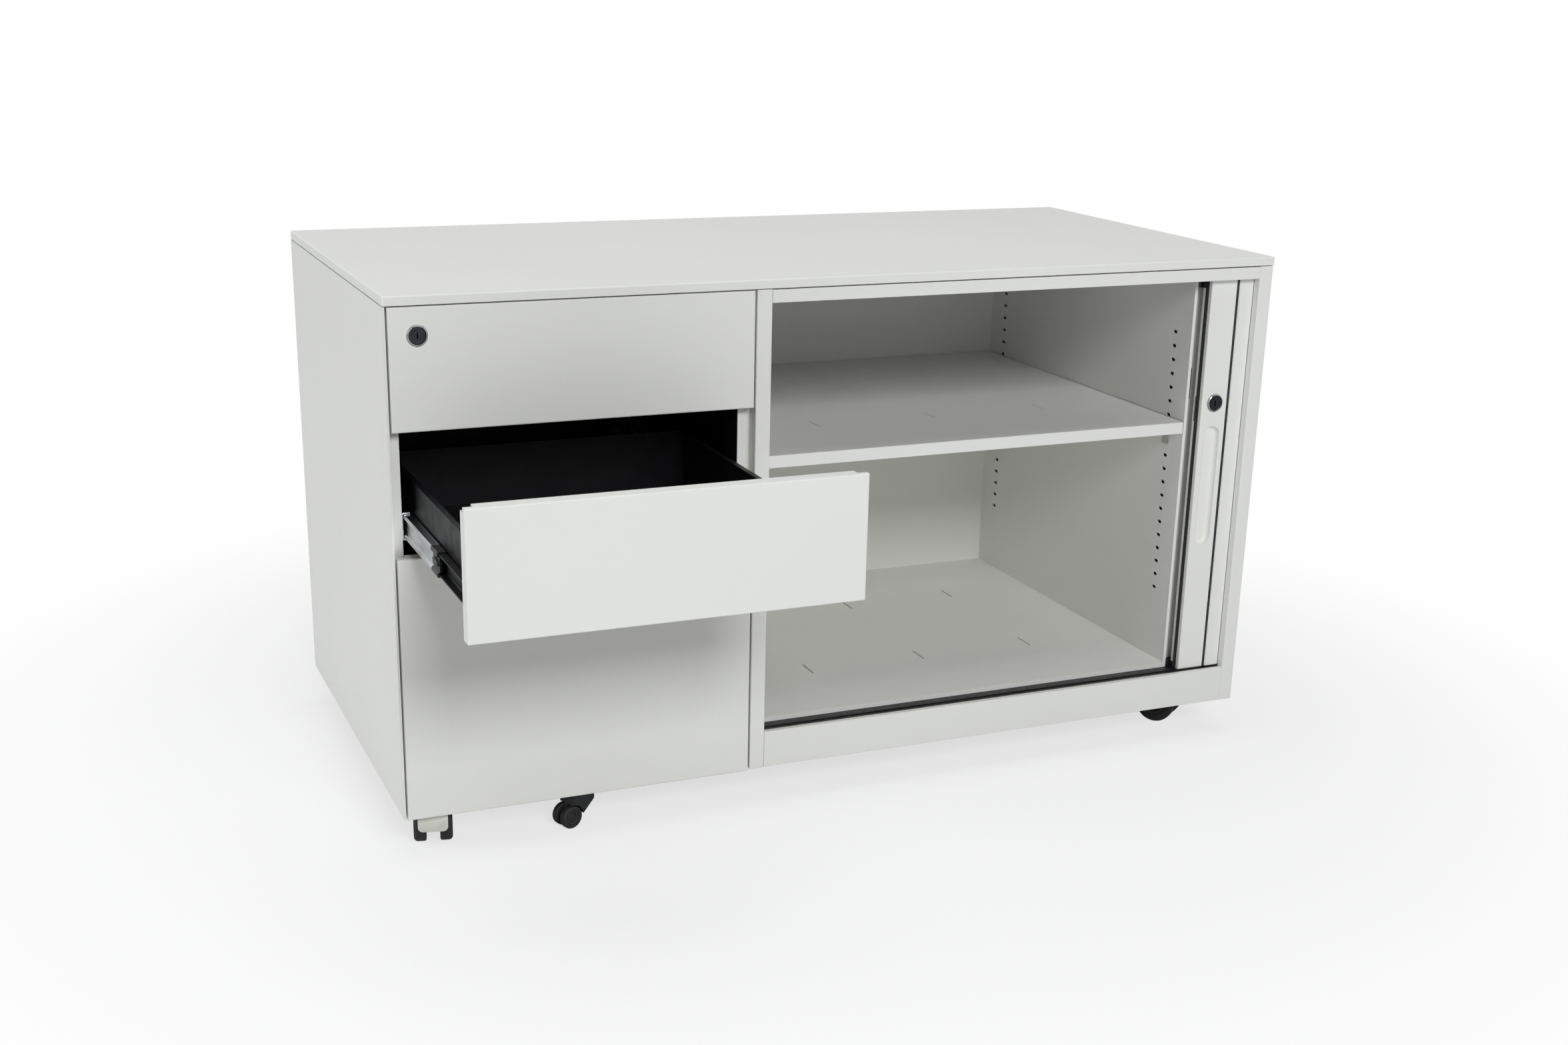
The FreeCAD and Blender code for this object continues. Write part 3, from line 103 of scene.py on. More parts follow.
class Finish:
    """A material under construction: a principled shader with object coordinates to hang patterns on."""

    def __init__(self, name, colour, roughness, metallic=0.0, **sockets):
        self.material = bpy.data.materials.new(name)
        self.material.use_nodes = True
        self.tree = self.material.node_tree
        self.shader = self.tree.nodes["Principled BSDF"]
        self.shader.inputs["Base Color"].default_value = (*colour, 1.0)
        self.shader.inputs["Roughness"].default_value = roughness
        self.shader.inputs["Metallic"].default_value = metallic
        for socket, value in sockets.items():
            self.shader.inputs[socket.replace("_", " ")].default_value = value
        self.coordinates = self.tree.nodes.new("ShaderNodeTexCoord").outputs["Object"]
        self.colour = colour
        self.bumps = []

    def node(self, kind, **settings):
        made = self.tree.nodes.new(kind)
        for key, value in settings.items():
            setattr(made, key, value)
        return made

    def link(self, output, target):
        self.tree.links.new(output, target)

    def stretched(self, scale):
        """Object coordinates stretched differently along each axis."""
        mapping = self.node("ShaderNodeMapping")
        mapping.inputs["Scale"].default_value = scale
        self.link(self.coordinates, mapping.inputs["Vector"])
        return mapping.outputs["Vector"]

    def noise(self, scale, detail=2.0, vector=None):
        made = self.node("ShaderNodeTexNoise")
        made.inputs["Scale"].default_value = scale
        made.inputs["Detail"].default_value = detail
        self.link(vector or self.coordinates, made.inputs["Vector"])
        return made.outputs["Fac"]

    def spread(self, value, low_out, high_out, low_in=0.3, high_in=0.7):
        """A pattern's value carried over to another range."""
        made = self.node("ShaderNodeMapRange")
        set_range(made, low_in, high_in, low_out, high_out)
        self.link(value, made.inputs["Value"])
        return made.outputs["Result"]

    def tint(self, value, dark, light):
        """Base colour that drifts between two shares of the written colour."""
        ramp = self.node("ShaderNodeValToRGB")
        ramp.color_ramp.elements[0].position = 0.3
        ramp.color_ramp.elements[1].position = 0.7
        ramp.color_ramp.elements[0].color = (*[c * d for c, d in zip(self.colour, dark)], 1.0)
        ramp.color_ramp.elements[1].color = (*[min(c * d, 1.0) for c, d in zip(self.colour, light)], 1.0)
        self.link(value, ramp.inputs["Fac"])
        self.link(ramp.outputs["Color"], self.shader.inputs["Base Color"])

    def gloss(self, value, smooth, rough):
        self.link(self.spread(value, smooth, rough), self.shader.inputs["Roughness"])

    def bump(self, value, height):
        """Surface relief of the given height in metres, laid over what came before."""
        made = self.node("ShaderNodeBump")
        made.inputs["Distance"].default_value = height
        self.link(value, made.inputs["Height"])
        if self.bumps:
            self.link(self.bumps[-1].outputs["Normal"], made.inputs["Normal"])
        self.bumps.append(made)
        self.link(made.outputs["Normal"], self.shader.inputs["Normal"])

    def soft_edges(self, radius):
        """Edges that catch the light as folded sheet and thick paint do."""
        made = self.node("ShaderNodeBevel", samples=4)
        made.inputs["Radius"].default_value = radius
        if self.bumps:
            self.link(made.outputs["Normal"], self.bumps[0].inputs["Normal"])
        else:
            self.link(made.outputs["Normal"], self.shader.inputs["Normal"])


PAINT = (0.88, 0.876, 0.84)
SLAT_PAINT = (0.87, 0.866, 0.835)
SATIN_BLACK = (0.0035, 0.0035, 0.0046)
BRIGHT_ZINC = (0.62, 0.63, 0.64)


def powder_coat(name):
    """White powder coat: a fine orange peel, a little cloudiness and a satin gloss."""
    finish = Finish(name, PAINT, 0.46, Specular_IOR_Level=0.42)
    finish.tint(finish.noise(3.5, 3.0), (0.985, 0.985, 0.98), (1.01, 1.01, 1.01))
    finish.gloss(finish.noise(60.0, 2.0), 0.45, 0.49)
    finish.bump(finish.noise(1100.0, 2.0), 0.04 * MM)
    finish.soft_edges(0.9 * MM)
    return finish


def bay_black_and_shade_coat(name, bounds):
    """The same white coat, with satin black where the surface lies within the bounds: black paint on the slide
    uprights' returns, and painted shade on the drawer bay's side, divider and back walls.
    """
    finish = powder_coat(name)
    axes = finish.node("ShaderNodeSeparateXYZ")
    finish.link(finish.coordinates, axes.inputs["Vector"])
    black_and_shade_mask = None
    for axis, side, place in bounds:
        test = finish.node("ShaderNodeMath", operation="GREATER_THAN" if side == "above" else "LESS_THAN")
        finish.link(axes.outputs[axis], test.inputs[0])
        test.inputs[1].default_value = place
        if black_and_shade_mask is None:
            black_and_shade_mask = test.outputs["Value"]
        else:
            both = finish.node("ShaderNodeMath", operation="MULTIPLY")
            finish.link(black_and_shade_mask, both.inputs[0])
            finish.link(test.outputs["Value"], both.inputs[1])
            black_and_shade_mask = both.outputs["Value"]
    white = finish.shader.inputs["Base Color"].links[0].from_socket
    zones = finish.node("ShaderNodeMix", data_type="RGBA")
    finish.link(black_and_shade_mask, zones.inputs["Factor"])
    finish.link(white, zones.inputs["A"])
    # The satin black here is painted shade on the bay's walls and black paint on the uprights' returns.
    zones.inputs["B"].default_value = (*SATIN_BLACK, 1.0)
    finish.link(zones.outputs["Result"], finish.shader.inputs["Base Color"])
    return finish.material


def tambour_paint():
    """The slats' white: the same coat, a little smoother and cooler."""
    finish = Finish("tambour_white", SLAT_PAINT, 0.4, Specular_IOR_Level=0.45)
    finish.tint(finish.noise(5.0, 2.0, finish.stretched((1.0, 1.0, 0.15))), (0.98, 0.98, 0.98), (1.01, 1.01, 1.01))
    finish.gloss(finish.noise(80.0, 2.0), 0.36, 0.46)
    finish.bump(finish.noise(900.0, 2.0), 0.03 * MM)
    return finish.material


def black_paint():
    """Satin black paint of the trays, with a fine texture that lifts the grazing highlights."""
    finish = Finish("black_satin_paint", SATIN_BLACK, 0.42, Specular_IOR_Level=0.22)
    finish.tint(finish.noise(9.0, 3.0), (0.8, 0.8, 0.8), (1.3, 1.3, 1.3))
    finish.gloss(finish.noise(45.0, 3.0), 0.36, 0.52)
    finish.bump(finish.noise(1300.0, 2.0), 0.05 * MM)
    finish.soft_edges(0.6 * MM)
    return finish.material


def zinc_plate():
    """Bright zinc on rolled steel: lengthwise rolling lines and soft clouds."""
    finish = Finish("bright_zinc", BRIGHT_ZINC, 0.26, 1.0)
    lines = finish.noise(260.0, 2.0, finish.stretched((1.0, 0.012, 1.0)))
    finish.tint(finish.noise(22.0, 3.0), (0.86, 0.87, 0.88), (1.05, 1.05, 1.06))
    finish.gloss(lines, 0.2, 0.32)
    finish.bump(lines, 0.004 * MM)
    finish.soft_edges(0.4 * MM)
    return finish.material


def plated(name, colour, smooth, rough):
    """Polished plating with hairline handling marks and a faint haze."""
    finish = Finish(name, colour, (smooth + rough) / 2, 1.0)
    finish.tint(finish.noise(160.0, 2.0), (0.82, 0.82, 0.83), (1.06, 1.06, 1.05))
    finish.gloss(finish.noise(700.0, 3.0, finish.stretched((1.0, 1.0, 0.2))), smooth, rough)
    finish.bump(finish.noise(1500.0, 2.0, finish.stretched((1.0, 1.0, 0.1))), 0.005 * MM)
    return finish.material


def moulded(name, colour, smooth, rough, grain):
    """Moulded plastic with a fine spark-eroded grain."""
    finish = Finish(name, colour, (smooth + rough) / 2, Specular_IOR_Level=0.45)
    finish.tint(finish.noise(30.0, 2.0), (0.9, 0.9, 0.9), (1.1, 1.1, 1.1))
    finish.gloss(finish.noise(120.0, 2.0), smooth, rough)
    finish.bump(finish.noise(grain, 2.0), 0.04 * MM)
    finish.soft_edges(0.5 * MM)
    return finish.material


WHITE = powder_coat("white_powder_coat").material
SLAT_WHITE = tambour_paint()
BLACK_PAINT = black_paint()
ZINC = zinc_plate()
# The lock chrome's colour is dimmed and the plug metal is near black: painted dark reflection, as plated metal shows
# in a dark room.
CHROME = plated("lock_chrome", (0.36, 0.36, 0.37), 0.07, 0.16)
DARK_REFLECTION_METAL = plated("dark_reflection_metal", (0.045, 0.046, 0.052), 0.14, 0.3)
BLACK_PLASTIC = moulded("black_moulding", (0.008, 0.008, 0.009), 0.35, 0.5, 1600.0)
BLACK_RUBBER = moulded("black_rubber", (0.012, 0.012, 0.0125), 0.55, 0.75, 900.0)
GREY_PLASTIC = moulded("grey_moulding", (0.66, 0.65, 0.6), 0.4, 0.55, 1500.0)

SLOT_FINISH = {"white": WHITE, "black_steel": BLACK_PAINT, "zinc": ZINC, "chrome": CHROME,
               "black_plastic": BLACK_PLASTIC, "black_rubber": BLACK_RUBBER, "grey_plastic": GREY_PLASTIC}


def dress_nodes():
    """Give every carried-over solid the finish of its record slot."""
    for part in frame["record"]["subparts"]:
        data = NODES[part["node"]].data
        data.materials.clear()
        data.materials.append(SLOT_FINISH[part["material_slot"]])
    # Black on the drawer bay's walls is painted shade; on the uprights' returns it is black paint.
    for node, bounds in bay_black_and_shade_zones().items():
        NODES[node].data.materials[0] = bay_black_and_shade_coat(f"{node}_coat", bounds)


def bay_black_and_shade_zones():
    """Where the carcass is black, behind the white faces at the front: the slide uprights' returns in black paint,
    and the walls of the drawer bay in black as painted shade for the dark of the bay.
    """
    skin, white_depth = 0.6 * MM, 21.0 * MM
    behind_front = ("Y", "above", FRONT_Y + white_depth)
    left_of_divider = low("divider").x
    before_back = ("Y", "below", high("left_side").y - 2 * skin)
    return {"left_side": [("X", "above", low("left_side").x + skin), behind_front, before_back],
            "divider": [("X", "below", left_of_divider + skin), behind_front],
            "back_panel": [("X", "below", left_of_divider), ("Y", "below", low("back_panel").y + skin)],
            "slide_uprights": [("Y", "above", low("slide_uprights").y + 2 * skin)]}


# Mesh helpers

MERGE = 1e-7


def linked(name, data):
    made = bpy.data.objects.new(name, data)
    bpy.context.scene.collection.objects.link(made)
    return made


def from_bmesh(name, form, material, merge=True):
    """A finished mesh object with its normals facing outwards."""
    if merge:
        bmesh.ops.remove_doubles(form, verts=form.verts, dist=MERGE)
    bmesh.ops.recalc_face_normals(form, faces=form.faces)
    mesh = bpy.data.meshes.new(name)
    form.to_mesh(mesh)
    form.free()
    mesh.materials.append(material)
    return linked(name, mesh)


def bridged(form, near, far):
    """Add a closed solid between two outlines that have the same number of points."""
    near = [form.verts.new(point) for point in near]
    far = [form.verts.new(point) for point in far]
    form.faces.new(near[::-1])
    form.faces.new(far)
    for k in range(len(near)):
        after = (k + 1) % len(near)
        form.faces.new((near[k], near[after], far[after], far[k]))


def prism(form, outline, z_low, z_high):
    """Add an upright prism over a plan outline."""
    bridged(form, [(x, y, z_low) for x, y in outline], [(x, y, z_high) for x, y in outline])


def arc(centre, radius, start, end, steps=6):
    """Points on an arc in a plane, from one angle in degrees to another."""
    turns = [math.radians(start + (end - start) * k / steps) for k in range(steps + 1)]
    return [(centre[0] + radius * math.cos(a), centre[1] + radius * math.sin(a)) for a in turns]


# Geometry Nodes helpers

def field_tree(name, sizes):
    """A node tree with a geometry input and named numbers; returns the tree and its two end nodes."""
    tree = bpy.data.node_groups.new(name, "GeometryNodeTree")
    tree.interface.new_socket("Geometry", in_out="INPUT", socket_type="NodeSocketGeometry")
    for size in sizes:
        tree.interface.new_socket(size, in_out="INPUT", socket_type="NodeSocketFloat")
    tree.interface.new_socket("Geometry", in_out="OUTPUT", socket_type="NodeSocketGeometry")
    return tree, tree.nodes.new("NodeGroupInput"), tree.nodes.new("NodeGroupOutput")


def grown(name, base, tree, sizes, pattern=None):
    """Run a tree on a base mesh and keep the result as a plain mesh object."""
    modifier = base.modifiers.new("growth", "NODES")
    modifier.node_group = tree
    for socket in tree.interface.items_tree:
        if socket.in_out == "INPUT" and socket.name in sizes:
            modifier[socket.identifier] = sizes[socket.name]
    bpy.context.view_layer.update()
    evaluated = base.evaluated_get(bpy.context.evaluated_depsgraph_get())
    mesh = bpy.data.meshes.new_from_object(evaluated)
    mesh.name = name
    base.modifiers.remove(modifier)
    for spent in (base, pattern):
        if spent is not None:
            bpy.data.objects.remove(spent)
    return linked(name, mesh)


# Tambour

SLAT_PITCH = 18.5 * MM
SLAT_GAP = 0.7 * MM
SLAT_THICK = 5.0 * MM
SLAT_CHAMFER = 1.2 * MM
TRACK_OUTER = 7.0 * MM
FRONT_BEND = 26.0 * MM
REAR_BEND = 30.0 * MM
LEAD_GAP = 3.6 * MM
GATHER = 7.0 * MM
HALVINGS = 60
BEND_STEPS = 24
RUN_Y = low("bottom_track").y + TRACK_OUTER
SIDE_RUN_X = high("bottom_track").x - TRACK_OUTER
REAR_Y = high("bottom_track").y - TRACK_OUTER - REAR_BEND
SLAT_LOW = low("tambour_stile").z + 0.5 * MM
SLAT_HIGH = high("tambour_stile").z - 0.5 * MM
LEAD_START = high("tambour_stile").x + LEAD_GAP
LEAD_END = low("right_side").x + 1.0 * MM
DOOR_TRAVEL = joint("tambour_slide")["range_m"][1]


def slat_outline(x0, x1):
    """The plan section of one slat: chamfered along both edges, so that a groove shows between slats."""
    c, half = SLAT_CHAMFER, SLAT_THICK / 2
    return [(x0 + c, -half), (x1 - c, -half), (x1, c - half), (x1, half - c), (x1 - c, half), (x0 + c, half),
            (x0, half - c), (x0, c - half)]


def stowed_path():
    """The curtain's way round the pocket: along the side, round the rear bend and back along the liner."""
    points = [(SIDE_RUN_X, RUN_Y + FRONT_BEND)]
    points += arc((SIDE_RUN_X - REAR_BEND, REAR_Y), REAR_BEND, 0, 180, BEND_STEPS)
    points.append((SIDE_RUN_X - 2 * REAR_BEND, REAR_Y - 2 * SLAT_PITCH))
    return points


def slats_on_path_tree(pattern, material):
    """Stand a copy of the pattern at every pitch along the path, turned along it."""
    tree, start, end = field_tree("slats_on_path", ["Pitch"])
    curve = tree.nodes.new("GeometryNodeMeshToCurve")
    resample = tree.nodes.new("GeometryNodeResampleCurve")
    resample.mode = "LENGTH"
    tangent = tree.nodes.new("GeometryNodeInputTangent")
    align = tree.nodes.new("FunctionNodeAlignRotationToVector")
    align.axis = "X"
    align.pivot_axis = "Z"
    slat = tree.nodes.new("GeometryNodeObjectInfo")
    slat.inputs["Object"].default_value = pattern
    copies = tree.nodes.new("GeometryNodeInstanceOnPoints")
    real = tree.nodes.new("GeometryNodeRealizeInstances")
    paint = tree.nodes.new("GeometryNodeSetMaterial")
    paint.inputs["Material"].default_value = material
    link = tree.links.new
    link(start.outputs["Geometry"], curve.inputs["Mesh"])
    link(curve.outputs["Curve"], resample.inputs["Curve"])
    link(start.outputs["Pitch"], resample.inputs["Length"])
    link(resample.outputs["Curve"], copies.inputs["Points"])
    link(tangent.outputs["Tangent"], align.inputs["Vector"])
    link(align.outputs["Rotation"], copies.inputs["Rotation"])
    link(slat.outputs["Geometry"], copies.inputs["Instance"])
    link(copies.outputs["Instances"], real.inputs["Geometry"])
    link(real.outputs["Geometry"], paint.inputs["Geometry"])
    link(paint.outputs["Geometry"], end.inputs["Geometry"])
    return tree


def stowed_curtain():
    """The slats that stay rolled away in the pocket beside the cupboard."""
    form = bmesh.new()
    half = (SLAT_PITCH - SLAT_GAP) / 2
    prism(form, slat_outline(-half, half), SLAT_LOW, SLAT_HIGH)
    pattern = from_bmesh("slat_pattern", form, SLAT_WHITE)
    mesh = bpy.data.meshes.new("slat_path")
    points = stowed_path()
    mesh.from_pydata([(x, y, 0.0) for x, y in points], [(k, k + 1) for k in range(len(points) - 1)], [])
    tree = slats_on_path_tree(pattern, SLAT_WHITE)
    curtain = grown("stowed_slats", linked("slat_path", mesh), tree, {"Pitch": SLAT_PITCH}, pattern)
    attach(curtain, "carcass")
    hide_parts("tambour_curtain")


def gathered(place, first, last):
    """Where a point of the drawn curtain lies at rest: the door's travel is taken out along a smoothstep easing."""
    below, above = first, last
    for _ in range(HALVINGS):
        x = (below + above) / 2
        t = (last - x) / (last - first)
        below, above = (x, above) if x - DOOR_TRAVEL * t * t * (3 - 2 * t) < place else (below, x)
    return (below + above) / 2


def drawn_curtain():
    """The drawn slats at rest: one shows beside the stile, the rest lie gathered behind the post."""
    first, last = LEAD_END, LEAD_END + GATHER
    count = round((DOOR_TRAVEL + GATHER) / SLAT_PITCH)
    pitch = (DOOR_TRAVEL + GATHER) / count
    form = bmesh.new()
    lead = [(x, RUN_Y + y) for x, y in slat_outline(LEAD_START, LEAD_END - SLAT_GAP / 2)]
    prism(form, lead, SLAT_LOW, SLAT_HIGH)
    for number in range(count):
        start = first - DOOR_TRAVEL + number * pitch
        section = slat_outline(start + SLAT_GAP / 2, start + pitch - SLAT_GAP / 2)
        prism(form, [(gathered(x, first, last), RUN_Y + y) for x, y in section], SLAT_LOW, SLAT_HIGH)
    curtain = from_bmesh("drawn_slats", form, SLAT_WHITE, merge=False)
    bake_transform(curtain)


# Turned and drawn pieces

FACING_BACK = Matrix.Rotation(math.pi / 2, 4, "Z")


def turned(form, section, place, steps):
    """Sweep a closed section of (radius, along) points round the X axis of a placing matrix."""
    rings = []
    for k in range(steps):
        turn = 2 * math.pi * k / steps
        across, up = math.cos(turn), math.sin(turn)
        rings.append([form.verts.new(place @ Vector((along, r * across, r * up))) for r, along in section])
    for k, ring in enumerate(rings):
        after = rings[(k + 1) % steps]
        for i in range(len(section)):
            j = (i + 1) % len(section)
            form.faces.new((ring[i], ring[j], after[j], after[i]))


def drawn_bar(form, section, start, end):
    """Draw a closed (x, z) section out along Y."""
    bridged(form, [(x, start, z) for x, z in section], [(x, end, z) for x, z in section])


def smooth_by_angle(piece, degrees=35.0):
    """Smooth shading that keeps the sharp edges sharp."""
    for face in piece.data.polygons:
        face.use_smooth = True
    piece.data.set_sharp_from_angle(angle=math.radians(degrees))


# Locks

LOCK_RING = 11.0 * MM
LOCK_STEP = 2.5 * MM
LOCK_WELL = 1.3 * MM
LOCK_BARREL = 8.5 * MM
LOCK_BORE = 6.2 * MM
LOCK_NOTCHES = (58.0, 118.0)
NOTCH_SPAN = 9.0
LOCK_EDGE = 1.3 * MM
LOCK_LAND = 0.6 * MM
WELL_SLOPE = 0.9 * MM
THREAD_PITCH = 1.5 * MM
THREAD_DEPTH = 0.5 * MM


def lock_face(number, body):
    """A lock's chromed ring with two driver notches, a well round the plug in near-black metal as a painted dark
    reflection, and a threaded barrel.
    """
    node = f"lock_{number}_housing"
    centre = Vector((middle(node).x, low(node).y, middle(node).z))
    place = Matrix.Translation(centre) @ FACING_BACK
    length = high(node).y - low(node).y
    ring = [(LOCK_RING, LOCK_STEP), (LOCK_RING, LOCK_STEP * 0.6)]
    ring += arc((LOCK_RING - LOCK_EDGE, LOCK_STEP * 0.56), LOCK_EDGE, 0, -80)
    ring[-1] = (ring[-1][0], 0.0)
    crest = ring[-1][0] - LOCK_LAND
    well = [(crest, 0.0), (crest - WELL_SLOPE, LOCK_WELL), (LOCK_BORE, LOCK_WELL)]
    root = LOCK_BARREL - THREAD_DEPTH
    barrel = [(LOCK_BORE, length), (root, length)]
    for k in range(int((length - LOCK_STEP) / THREAD_PITCH)):
        at = length - 0.4 * MM - k * THREAD_PITCH
        barrel += [(LOCK_BARREL, at - 0.3 * MM), (root, at - 0.9 * MM)]
    barrel.append((root, LOCK_STEP))
    form = bmesh.new()
    turned(form, ring + well + barrel, place, 120)
    for vertex in form.verts:
        offset = vertex.co - centre
        radius, along = math.hypot(offset.x, offset.z), offset.y
        angle = math.degrees(math.atan2(offset.z, offset.x))
        in_notch = any(abs(angle - a) < NOTCH_SPAN / 2 for a in LOCK_NOTCHES)
        if in_notch and radius > crest - 0.1 * MM and along < LOCK_WELL:
            vertex.co.y = centre.y + LOCK_WELL
    for face in form.faces:
        offset = face.calc_center_median() - centre
        inner = math.hypot(offset.x, offset.z) < crest
        face.material_index = 1 if inner and offset.y < LOCK_STEP else 0
    piece = from_bmesh(f"lock_{number}_ring", form, CHROME)
    piece.data.materials.append(DARK_REFLECTION_METAL)
    smooth_by_angle(piece)
    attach(piece, body)
    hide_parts(node)
    # The plug gets the same near-black metal, a painted dark reflection.
    NODES[f"lock_{number}_plug"].data.materials[0] = DARK_REFLECTION_METAL


# Slides

RAIL_WIDTH = 9.1 * MM
RAIL_SHEET = 1.4 * MM
RAIL_ROLL = 1.6 * MM
RAIL_BAND = 4.2 * MM
RAIL_RECESS = 2.4 * MM
# The release lever's outline, in millimetres from the member's front end and from its middle line
TONGUE = ((2, -2.0), (15, -4.5), (21, -3.0), (22, 2.5), (14, 4.5), (2, 2.0))


def rail_section(half, wall):
    """A middle rail's rolled section, as (distance from its outer face, height): raised bands, recessed web."""
    inner = half - wall
    roll = arc((RAIL_ROLL, half - RAIL_ROLL), RAIL_ROLL, 90, 180)
    band = half - RAIL_BAND
    web = band - RAIL_RECESS * 0.7
    outer = [(RAIL_WIDTH, half)] + roll + [(0.0, band), (RAIL_RECESS, web)]
    back = [(RAIL_RECESS + wall, web), (wall, band + wall * 0.4), (wall, inner - 0.5 * MM),
            (wall + 0.5 * MM, inner), (RAIL_WIDTH, inner)]
    lower_outer = [(q, -w) for q, w in reversed(outer)]
    lower_back = [(q, -w) for q, w in reversed(back)]
    return outer + lower_outer + lower_back + back


def slide_member(node, name, body, wall, material, lever):
    """Both middle rails of a drawer, or their black ends with a release lever in the recess."""
    half = (high(node).z - low(node).z) / 2
    z = middle(node).z
    start, end = low(node).y, high(node).y
    form = bmesh.new()
    for edge, side in ((low(node).x, 1), (high(node).x, -1)):
        drawn_bar(form, [(edge + side * q, z + w) for q, w in rail_section(half, wall)], start, end)
        if lever:
            near, far = [[(edge + side * depth, start + along * MM, z + w * MM) for along, w in TONGUE]
                         for depth in (0.4 * MM, RAIL_RECESS + 0.6 * MM)]
            bridged(form, near, far)
    piece = from_bmesh(name, form, material)
    smooth_by_angle(piece)
    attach(piece, body)
    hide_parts(node)


def slides():
    for drawer in ("drawer_1", "drawer_2", "drawer_3"):
        body = f"{drawer}_mid"
        slide_member(f"{drawer}_mid_rails", f"{drawer}_middle_rails", body, RAIL_SHEET, ZINC, False)
        slide_member(f"{drawer}_slide_stops", f"{drawer}_rail_ends", body, 2 * RAIL_SHEET, BLACK_PLASTIC,
                     True)


# Castors

BIG_WHEEL = {"width": 14.0 * MM, "gap": 15.0 * MM, "corner": 4.6 * MM}
SMALL_WHEEL = {"width": 8.0 * MM, "gap": 7.0 * MM, "corner": 2.6 * MM}
AXLE = 3.0 * MM
LEVER_WIDTH = 33.0 * MM
LEVER_ROUND = 6.0 * MM
LEVER_FROM, LEVER_TO = -8.0, 34.0
LEVER_INNER, LEVER_OUTER = 26.3 * MM, 29.0 * MM
LEVER_ROWS = 20
LEVER_RIB = 5.5 * MM
LEVER_HUB = 7.6 * MM


def castor_axes(name):
    """A matrix whose X axis is the axle and whose Y axis points on from the stem past the axle."""
    axle, stem = joint(f"castor_{name}_roll"), joint(f"castor_{name}_swivel")
    centre = Vector(axle["pos_m"])
    trail = (centre - Vector(stem["pos_m"])) * Vector((1, 1, 0))
    trail.normalize()
    up = Vector((0, 0, 1))
    across = trail.cross(up)
    turn = Matrix((across, trail, up)).transposed()
    return Matrix.Translation(centre) @ turn.to_4x4()


def castor_wheel_pair(name, sizes):
    """Two wheels with rounded treads, a moulded groove beside the tread and a capped hub."""
    node = f"castor_{name}_wheels"
    radius = (high(node).z - low(node).z) / 2
    width, gap, corner = sizes["width"], sizes["gap"], sizes["corner"]
    inner, outer = gap / 2, gap / 2 + width
    tread = arc((radius - corner / 2, inner + corner / 2), corner / 2, -90, 0, 4)
    tread += arc((radius - corner, outer - corner), corner, 0, 90, 8)
    cap = outer - width * 0.22
    groove = [(radius * 0.66, outer - 0.1 * MM), (radius * 0.64, outer - 0.9 * MM), (radius * 0.6, outer - 0.9 * MM),
              (radius * 0.58, outer - 0.2 * MM), (radius * 0.42, outer - 0.6 * MM), (radius * 0.38, cap)]
    core = AXLE * 0.2
    hub = [(AXLE * 1.5, cap), (AXLE * 1.3, outer - width * 0.12), (core, outer - width * 0.1),
           (core, inner)]
    axes = castor_axes(name)
    form = bmesh.new()
    for side in (1, -1):
        turned(form, [(r, side * along) for r, along in tread + groove + hub], axes, 72)
    shaft = gap / 2 + 0.2 * MM
    turned(form, [(AXLE, -shaft), (AXLE, shaft), (core, shaft), (core, -shaft)], axes, 24)
    piece = from_bmesh(f"castor_{name}_twin_wheels", form, BLACK_RUBBER)
    smooth_by_angle(piece)
    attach(piece, f"castor_{name}_wheels")
    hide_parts(node)


def brake_lever(name):
    """A pedal bent round the wheels, with rounded lower corners, on a rib that turns on the axle."""
    axes = castor_axes(name)
    form = bmesh.new()
    length = math.radians(LEVER_TO - LEVER_FROM) * LEVER_OUTER
    ladder = []
    for k in range(LEVER_ROWS + 1):
        share = k / LEVER_ROWS
        along = length * share * share * (3 - 2 * share)
        cut = max(0.0, LEVER_ROUND - along)
        half = LEVER_WIDTH / 2 - (LEVER_ROUND - math.sqrt(max(LEVER_ROUND ** 2 - cut ** 2, 0.0)))
        turn = math.radians(LEVER_FROM) + along / LEVER_OUTER
        ladder.append([form.verts.new(axes @ Vector((side * half, r * math.cos(turn), r * math.sin(turn))))
                       for r, side in ((LEVER_OUTER, -1), (LEVER_OUTER, 1), (LEVER_INNER, 1), (LEVER_INNER, -1))])
    for k in range(LEVER_ROWS):
        for i in range(4):
            j = (i + 1) % 4
            form.faces.new((ladder[k][i], ladder[k][j], ladder[k + 1][j], ladder[k + 1][i]))
    form.faces.new(ladder[0][::-1])
    form.faces.new(ladder[-1])
    outline = arc((0.0, 0.0), LEVER_HUB, LEVER_TO, LEVER_FROM)
    outline += arc((0.0, 0.0), LEVER_INNER + 0.3 * MM, LEVER_FROM, LEVER_TO)
    bridged(form, *[[axes @ Vector((side * LEVER_RIB, u, w)) for u, w in outline] for side in (-1, 1)])
    piece = from_bmesh(f"castor_{name}_pedal", form, GREY_PLASTIC)
    smooth_by_angle(piece)
    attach(piece, f"castor_{name}_brake")
    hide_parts(f"castor_{name}_brake")


def castors():
    for name in ("fl", "fr", "rl", "rr"):
        castor_wheel_pair(name, BIG_WHEEL)
    castor_wheel_pair("mid", SMALL_WHEEL)
    brake_lever("fl")
    brake_lever("fr")


# Seals and fixings

# The bow of the black strip that paints the shade in the gap beside the stile.
SHADE_STRIP_BOW = 0.5 * MM
GUIDE_FOOT = 7.0 * MM
GUIDE_HEAD = 12.0 * MM
GUIDE_WIDTH = 14.0 * MM
GUIDE_BEVEL = 1.5 * MM
FOOT_BEVEL = 0.3 * MM
LINER_LIP = 4.6 * MM
LINER_FLANGE = 10.6 * MM
RIVET_INSET = 14.0 * MM
RIVETS_ACROSS, RIVETS_UP = 6, 4
# A rivet's section, as (radius, height) in millimetres
RIVET_DOME = ((3.8, 0.0), (3.7, 0.35), (2.9, 0.8), (1.8, 1.0), (1.5, 0.5), (0.15, 0.4), (0.15, 0.0))


